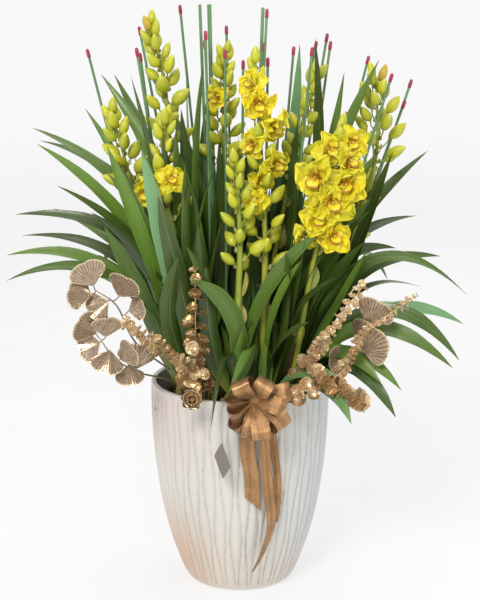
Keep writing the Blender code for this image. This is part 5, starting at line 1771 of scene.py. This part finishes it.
class ORCHID_OT_tag(bpy.types.Operator):
    """Hang the plain card tag from its thread"""
    bl_idname = "orchid.tag"
    bl_label = "Card Tag"

    def execute(self, context):
        right = direction(-TAG_TURN)
        side = sizes().tag_side
        made = bmesh.new()
        bmesh.ops.create_cube(made, size=1.0)
        bmesh.ops.scale(made, vec=(side, side, TAG_THICK), verts=made.verts)
        upright = [e for e in made.edges if abs(e.verts[0].co.z - e.verts[1].co.z) > 0.001]
        bmesh.ops.bevel(made, geom=upright, offset=0.0022, segments=4, affect="EDGES", profile=0.5)
        bmesh.ops.bevel(made, geom=[e for e in made.edges if abs(e.verts[0].co.z - e.verts[1].co.z) < 1e-6],
                        offset=0.0002, segments=2, affect="EDGES", profile=0.5)
        uv = made.loops.layers.uv.new("UVMap")
        for face in made.faces:
            for corner in face.loops:
                corner[uv].uv = corner.vert.co.xy * 2 / side
        spin = Matrix.Rotation(math.radians(45), 4, "Z")
        place = Matrix((right, UP, right.cross(UP))).transposed().to_4x4()
        place.translation = TAG_TOP - UP * (side / math.sqrt(2))
        for vert in made.verts:
            vert.co.z += 0.0012 * math.sin(vert.co.x * 60)
        bmesh.ops.transform(made, matrix=place @ spin, verts=made.verts)
        bmesh.ops.recalc_face_normals(made, faces=made.faces)
        piece_of(mesh_from(made, "tag_card"), "tag_card", tag_card(), 42, "tag_card", "tag")
        eye = TAG_TOP - UP * 0.0045
        hoop = Paths()
        hoop.rod([eye + (right * x + UP * y) * 0.0021 for x, y in circle(20) + circle(20)[:1]], 0.0009, 0.2)
        hoop.sweep("tag_eyelet", round_profile(8), gold_paint("gold"), "gold_leaf")
        start = KNOT + Vector((-1, 0, 0.1)).normalized() * (KNOT_RADIUS - 0.002)
        knots = [start, Vector((-0.022, -0.205, 0.428)), Vector((-0.037, -0.206, 0.385)), TAG_TOP + UP * 0.004,
                 eye + Vector((0.0, -0.0012, 0.0012))]
        path = along_all(knots, 28)
        diameter = sizes().thread_diameter
        line = Paths()
        line.rod(path, diameter / 2, 0.5)
        thread = line.sweep("tag_string", round_profile(8), twine(), "tag_thread", "tag_thread")
        return {"FINISHED"}


# ---------------------------------------------------------------- stage
class ORCHID_OT_stage(bpy.types.Operator):
    """Set the pale floor, the soft studio lights and the camera"""
    bl_idname = "orchid.stage"
    bl_label = "Stage"

    def execute(self, context):
        scene = context.scene
        made = bmesh.new()
        bmesh.ops.create_circle(made, cap_ends=True, segments=96, radius=60.0)
        mesh = mesh_from(made, "floor")
        mesh.materials.append(studio_paper())
        floor = link(bpy.data.objects.new("floor", mesh))
        floor.location.z = -0.001
        world = bpy.data.worlds.new("studio")
        world.use_nodes = True
        net = Nodes(world.node_tree)
        height = net.axes(net.coords("Generated"))[2]
        sky = net.blend(net.stepped(height, 0.16, 0.42), (0.945, 0.945, 0.945), (0.56, 0.56, 0.56))
        net.feed(net.tree.nodes["Background"].inputs["Color"], sky)
        scene.world = world
        scene.view_settings.view_transform = "Standard"
        for name, place, aim, size, power, tint in (
                ("key_light", (-0.9, -3.0, 2.9), (0, 0, 0.55), 1.3, 92.0, (1.0, 0.975, 0.94)),
                ("fill_light", (2.4, -2.2, 1.6), (0, 0, 0.45), 2.0, 10.0, (0.92, 0.96, 1.0)),
                ("top_light", (0.2, 0.6, 3.4), (0, 0, 0.6), 2.4, 26.0, (1.0, 1.0, 1.0)),
                ("back_light", (1.2, 2.8, 2.2), (0, 0, 0.6), 2.0, 12.0, (1.0, 1.0, 1.0))):
            lamp = bpy.data.lights.new(name, "AREA")
            lamp.shape = "DISK"
            lamp.size = size
            lamp.energy = power
            lamp.color = tint
            obj = link(bpy.data.objects.new(name, lamp))
            obj.location = place
            obj.rotation_euler = (Vector(aim) - Vector(place)).to_track_quat("-Z", "Y").to_euler()
        lens = bpy.data.cameras.new("camera")
        lens.sensor_width = 36.0
        lens.lens = 91.08
        lens.clip_end = 200.0
        camera = link(bpy.data.objects.new("camera", lens))
        camera.location = (0.0, -2.90, 1.24)
        camera.rotation_euler = (math.radians(90 - 13.07), 0.0, 0.0)
        scene.camera = camera
        return {"FINISHED"}


# ---------------------------------------------------------------- panel and registration
STEPS = ("stage", "planter", "mix", "leaves", "spikes", "flowers", "stakes", "gold", "bow", "tag")


class ORCHID_PT_panel(bpy.types.Panel):
    """The orchid's sizes, colours and pieces"""
    bl_label = "Orchid in a Vase"
    bl_idname = "ORCHID_PT_panel"
    bl_space_type = "VIEW_3D"
    bl_region_type = "UI"
    bl_category = "Orchid"

    def draw(self, context):
        layout = self.layout
        for heading, settings in (("Sizes", context.scene.orchid_sizes), ("Colours", context.scene.orchid_colours)):
            box = layout.box()
            box.label(text=heading)
            for key in settings.__annotations__:
                box.prop(settings, key)
        box = layout.box()
        box.label(text="Pieces")
        for step in STEPS:
            box.operator("orchid." + step)


CLASSES = (OrchidSizes, OrchidColours, ORCHID_OT_stage, ORCHID_OT_planter, ORCHID_OT_mix, ORCHID_OT_leaves,
           ORCHID_OT_spikes, ORCHID_OT_flowers, ORCHID_OT_stakes, ORCHID_OT_gold, ORCHID_OT_bow, ORCHID_OT_tag,
           ORCHID_PT_panel)


def register():
    for item in CLASSES:
        bpy.utils.register_class(item)
    bpy.types.Scene.orchid_sizes = bpy.props.PointerProperty(type=OrchidSizes)
    bpy.types.Scene.orchid_colours = bpy.props.PointerProperty(type=OrchidColours)


def unregister():
    del bpy.types.Scene.orchid_colours
    del bpy.types.Scene.orchid_sizes
    for item in reversed(CLASSES):
        bpy.utils.unregister_class(item)


def main():
    register()
    for step in STEPS:
        getattr(bpy.ops.orchid, step)()
    clear_helpers()


if __name__ == "__main__":
    main()
